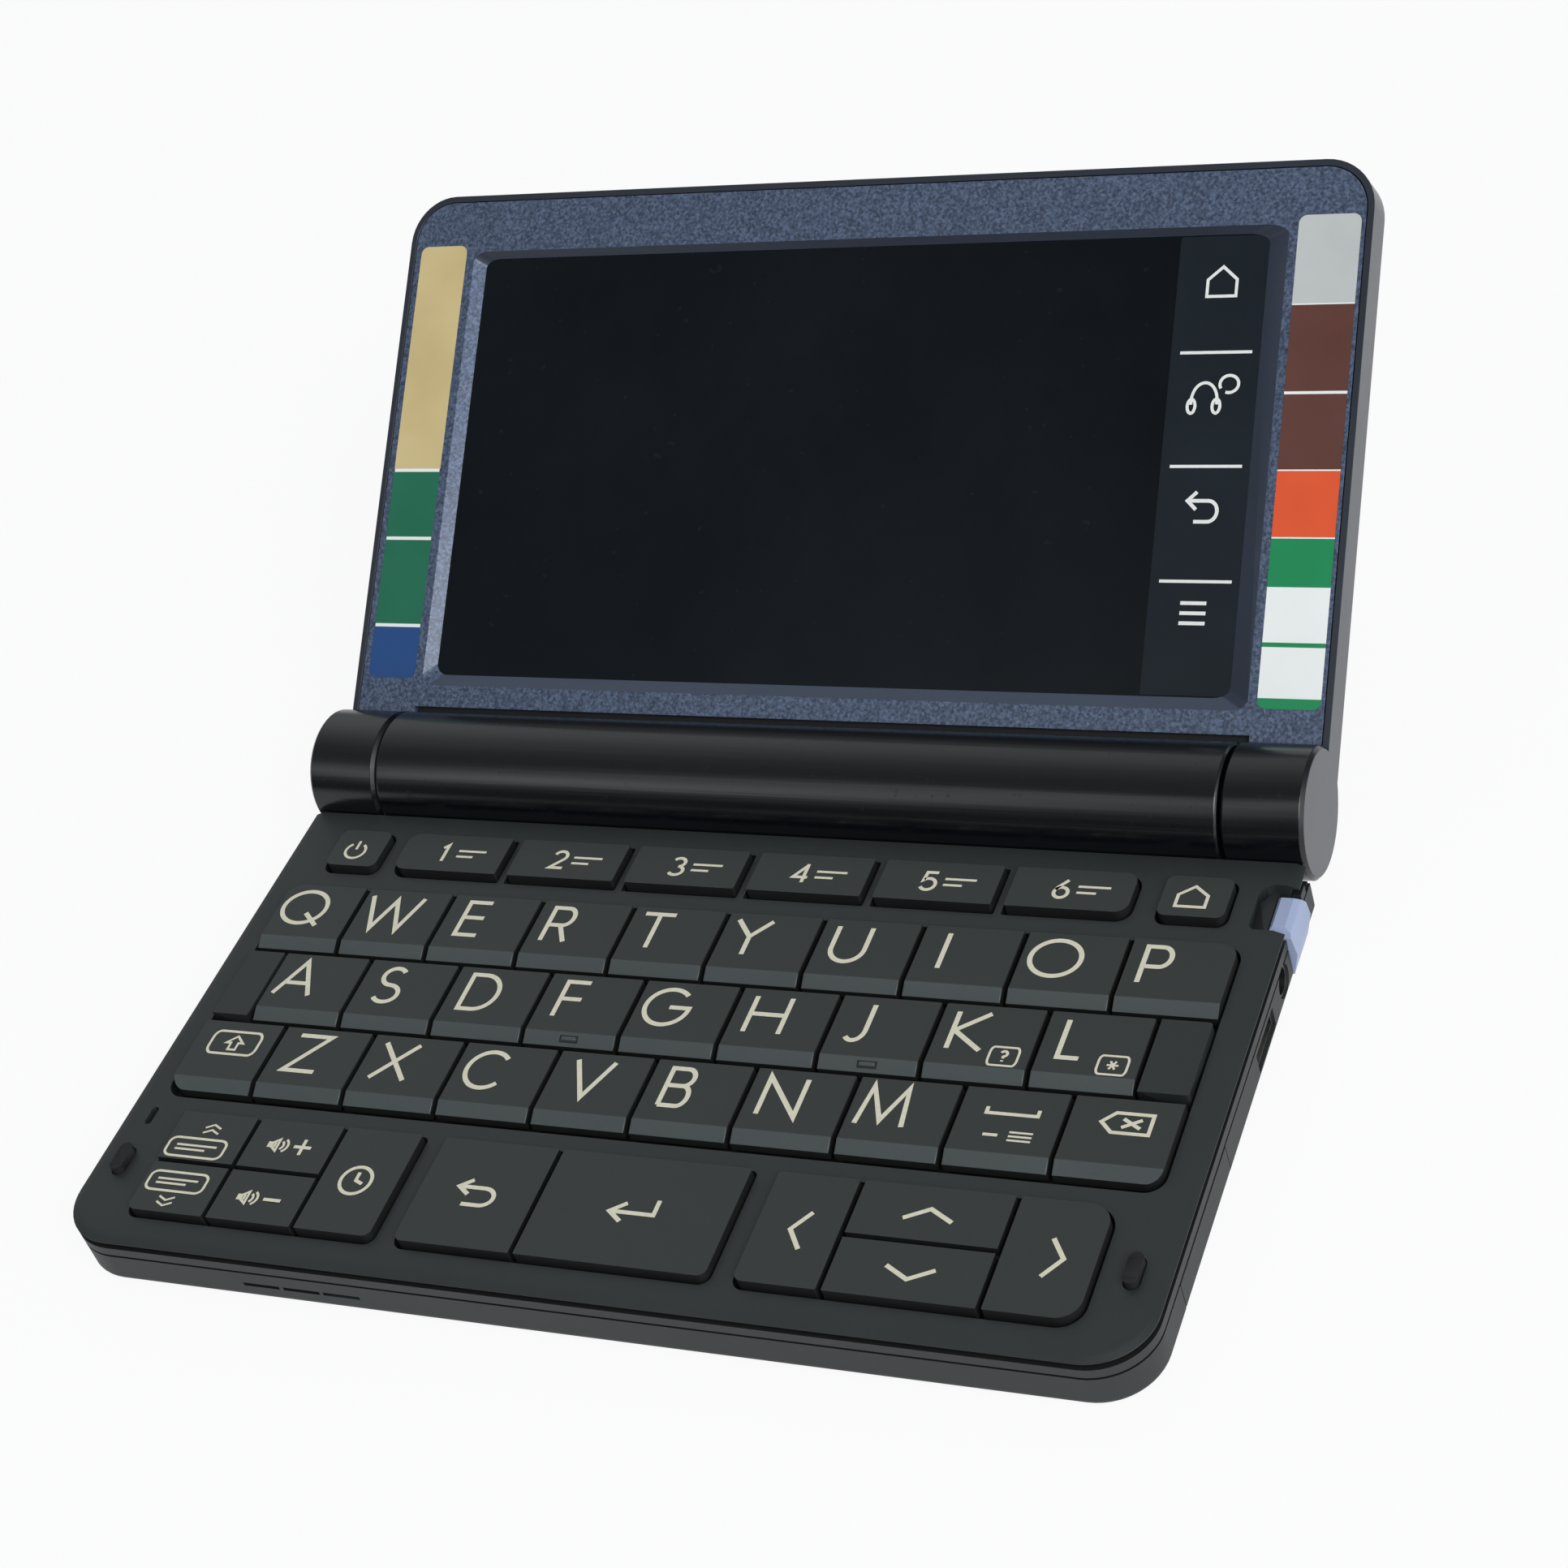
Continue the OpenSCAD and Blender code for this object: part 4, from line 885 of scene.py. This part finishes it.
screen_glass = Finish("screen_glass", Specular_IOR_Level=0.2)
smudge = screen_glass.noise(28, 6, 0.65, stretch=(1.0, 0.6, 1.0))
mote = screen_glass.noise(700, 1)
screen_glass.feed(
    Base_Color=screen_glass.blend(ink(3, 7, 11), ink(22, 28, 33), smudge),
    Roughness=smudge * 0.16 + (mote > 0.76) * 0.3 + 0.04,
)
soften("screen_glass", screen_glass, 0.1 * MM)
clothe("lcd_panel", moulded("panel_tin", ink(30, 32, 34), ink(52, 54, 56), 0.5))

strip_glass = Finish("strip_glass", Specular_IOR_Level=0.2)
strip_smudge = strip_glass.noise(34, 6, 0.65)
strip_glass.feed(
    Base_Color=strip_glass.blend(ink(19, 26, 31), ink(35, 43, 49), strip_smudge),
    Roughness=strip_smudge * 0.2 + 0.12,
)
STRIP_X, STRIP_V = (47.5, 60.1), (15.1, 78.1)
strip = panel("touch_strip", STRIP_X, STRIP_V, GLASS + 0.04, (0.3, 0.3), strip_glass, thick=0.03)
white_ink = Finish("white_ink")
bright = white_ink.noise(1800, 3)
white_ink.feed(
    Base_Color=white_ink.blend(ink(226, 228, 226), ink(244, 244, 242), bright),
    Roughness=bright * 0.2 + 0.4,
)
HEADPHONES = [
    arc(-0.3, -0.35, 0.5, 0.95, -10, 190, 24), arc(-0.78, -0.6, 0.15, 0.36, 0, 360, 18),
    arc(0.18, -0.6, 0.15, 0.36, 0, 360, 18), arc(0.62, 0.52, 0.36, 0.44, -110, 210, 22),
]
STRIP_MARKS_X = (STRIP_X[0] + STRIP_X[1]) / 2
strip_marks = []
for strokes, v, w, h, line in (
    (HOME, 71.8, 5.4, 4.2, 0.42), (HEADPHONES, 56.1, 7.2, 5.4, 0.42),
    (RETURN, 40.5, 4.2, 4.4, 0.5), (LINES, 26.2, 3.6, 3.9, 0.5),
    (MINUS, 61.9, 10.0, 1, 0.42), (MINUS, 46.2, 10.0, 1, 0.42), (MINUS, 30.5, 10.0, 1, 0.42),
):
    strip_marks += drawn(strokes, STRIP_MARKS_X, v, GLASS + 0.05, w, h, line)
print_ink("touch_strip_symbols", strip_marks, "lid", white_ink, LID)

# Case screws. Six round heads of dark steel, sunk in the underside, that
# hold the two cases together. They are drawn as plain discs.

screw_steel = metal("screw_steel", ink(60, 60, 62), ink(96, 96, 98), 0.35)
SCREW_HEAD = 1.5 * MM
SCREW_DEPTH = 0.35 * MM
SCREW_FACE_Z = -0.02 * MM
SCREW_SPOTS = ((-66, -44), (66, -44), (0, -44), (-66, 24), (60, 24), (0, 24))


def screw(name, x, y):
    shape = bmesh.new()
    turns = [math.radians(15 * i) for i in range(24)]
    rim = [(x + SCREW_HEAD * math.cos(a), y + SCREW_HEAD * math.sin(a), SCREW_FACE_Z) for a in turns]
    thicken(shape, rim, SCREW_DEPTH)
    piece = made(name, shape, screw_steel)
    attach(piece, "base")


for place, (x, y) in enumerate(SCREW_SPOTS):
    screw(f"case_screw_{place}", x * MM, y * MM)

# Studio. A pale floor that shows near white, one soft window light from the
# front right, and a room whose soft glow is what the glossy pieces reflect.

FLOOR_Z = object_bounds()[0][2] - 0.00002
FLOOR_REACH = 3.0
FLOOR_CORNERS = ((-1, -1), (1, -1), (1, 1), (-1, 1))
floor_mesh = bpy.data.meshes.new("floor")
corners = [(x * FLOOR_REACH, y * FLOOR_REACH, FLOOR_Z) for x, y in FLOOR_CORNERS]
floor_mesh.from_pydata(corners, [], [(0, 1, 2, 3)])
floor = bpy.data.objects.new("floor", floor_mesh)
bpy.context.scene.collection.objects.link(floor)
floor_finish = Finish("floor_paint", Base_Color=(0.9, 0.9, 0.9, 1.0), Roughness=0.9)
seen = (
    floor_finish.add("LightPath", out="Is Camera Ray")
    + floor_finish.add("LightPath", out="Is Transmission Ray")
    + floor_finish.add("LightPath", out="Is Glossy Ray") * 0.45
)
glow = floor_finish.add("Emission", inputs={"Color": (1.0, 1.0, 1.0, 1.0), "Strength": 1.0})
painted = Wire(floor_finish, floor_finish.shader.outputs[0])
mixed = floor_finish.add("MixShader", inputs={0: seen * 0.9, 1: painted, 2: glow})
floor_finish.connect(floor_finish.output.inputs["Surface"], mixed)
floor_mesh.materials.append(floor_finish.material)

room = Finish("studio", "worlds")
bpy.context.scene.world = room.material
direction = room.add("TexCoord", out=0)


def glow_from(x, y, z, spread, strength):
    """Soft light that comes from one direction and fades with the angle from it."""
    towards = Vector((x, y, z)).normalized()
    nearness = room.add("VectorMath", {"operation": "DOT_PRODUCT"}, {0: direction, 1: towards}, out=1)
    return room.add("Math", {"operation": "MAXIMUM"}, {0: nearness, 1: 0.0}) ** spread * strength


radiance = (
    glow_from(-0.46, 0.6, 0.65, 6.0, 0.55)
    + glow_from(-0.46, -0.7, 0.54, 80.0, 1.8)
    + glow_from(-0.32, -0.57, 0.75, 120.0, 1.5)
    + glow_from(0.9, -0.35, 0.35, 6.0, 1.9)
    - glow_from(-0.35, -0.93, -0.05, 9.0, 0.17)
    + 0.2
)
camera_ray = room.add("LightPath", out="Is Camera Ray") + room.add("LightPath", out="Is Transmission Ray")
room.feed(Color=(0.93, 0.97, 1.0, 1.0), Strength=radiance)
backdrop = room.add("Background", inputs={"Color": (1.0, 1.0, 1.0, 1.0), "Strength": 1.0})
lit_room = Wire(room, room.shader.outputs[0])
surface = room.add("MixShader", inputs={0: camera_ray, 1: lit_room, 2: backdrop})
room.connect(room.output.inputs["Surface"], surface)


def softbox(name, place, aim, size, power):
    light = bpy.data.lights.new(name, "AREA")
    light.shape = "RECTANGLE"
    light.size, light.size_y = size
    light.energy = power
    lamp = bpy.data.objects.new(name, light)
    bpy.context.scene.collection.objects.link(lamp)
    lamp.location = place
    lamp.rotation_euler = (Vector(aim) - Vector(place)).to_track_quat("-Z", "Y").to_euler()


softbox("window_light", (0.8, -0.7, 1.0), (0, 0, 0), (0.8, 0.8), 10.0)

# Camera. Stands and looks as the photograph's camera did, as solved with the
# picture's centre held. The angles are in radians.

CAMERA = Vector((0.181298, -0.244811, 0.282635))
TURN, TILT, ROLL = -0.570863, 0.678738, -0.338306
FOCAL_LENGTH = 72.42
forward = Vector((math.sin(TURN), math.cos(TURN), 0))
side = Vector((math.cos(TURN), -math.sin(TURN), 0))
ahead = forward * math.cos(TILT) - Vector((0, 0, math.sin(TILT)))
above = forward * math.sin(TILT) + Vector((0, 0, math.cos(TILT)))
right = side * math.cos(ROLL) + above * math.sin(ROLL)
up = above * math.cos(ROLL) - side * math.sin(ROLL)
lens = bpy.data.cameras.new("camera")
lens.sensor_width = 36.0
lens.lens = FOCAL_LENGTH
lens.clip_start = 0.01
camera = bpy.data.objects.new("camera", lens)
bpy.context.scene.collection.objects.link(camera)
turn = Matrix((right, up, -ahead)).transposed().to_4x4()
camera.matrix_world = Matrix.Translation(CAMERA) @ turn
bpy.context.scene.camera = camera
bpy.context.scene.view_settings.view_transform = "Standard"
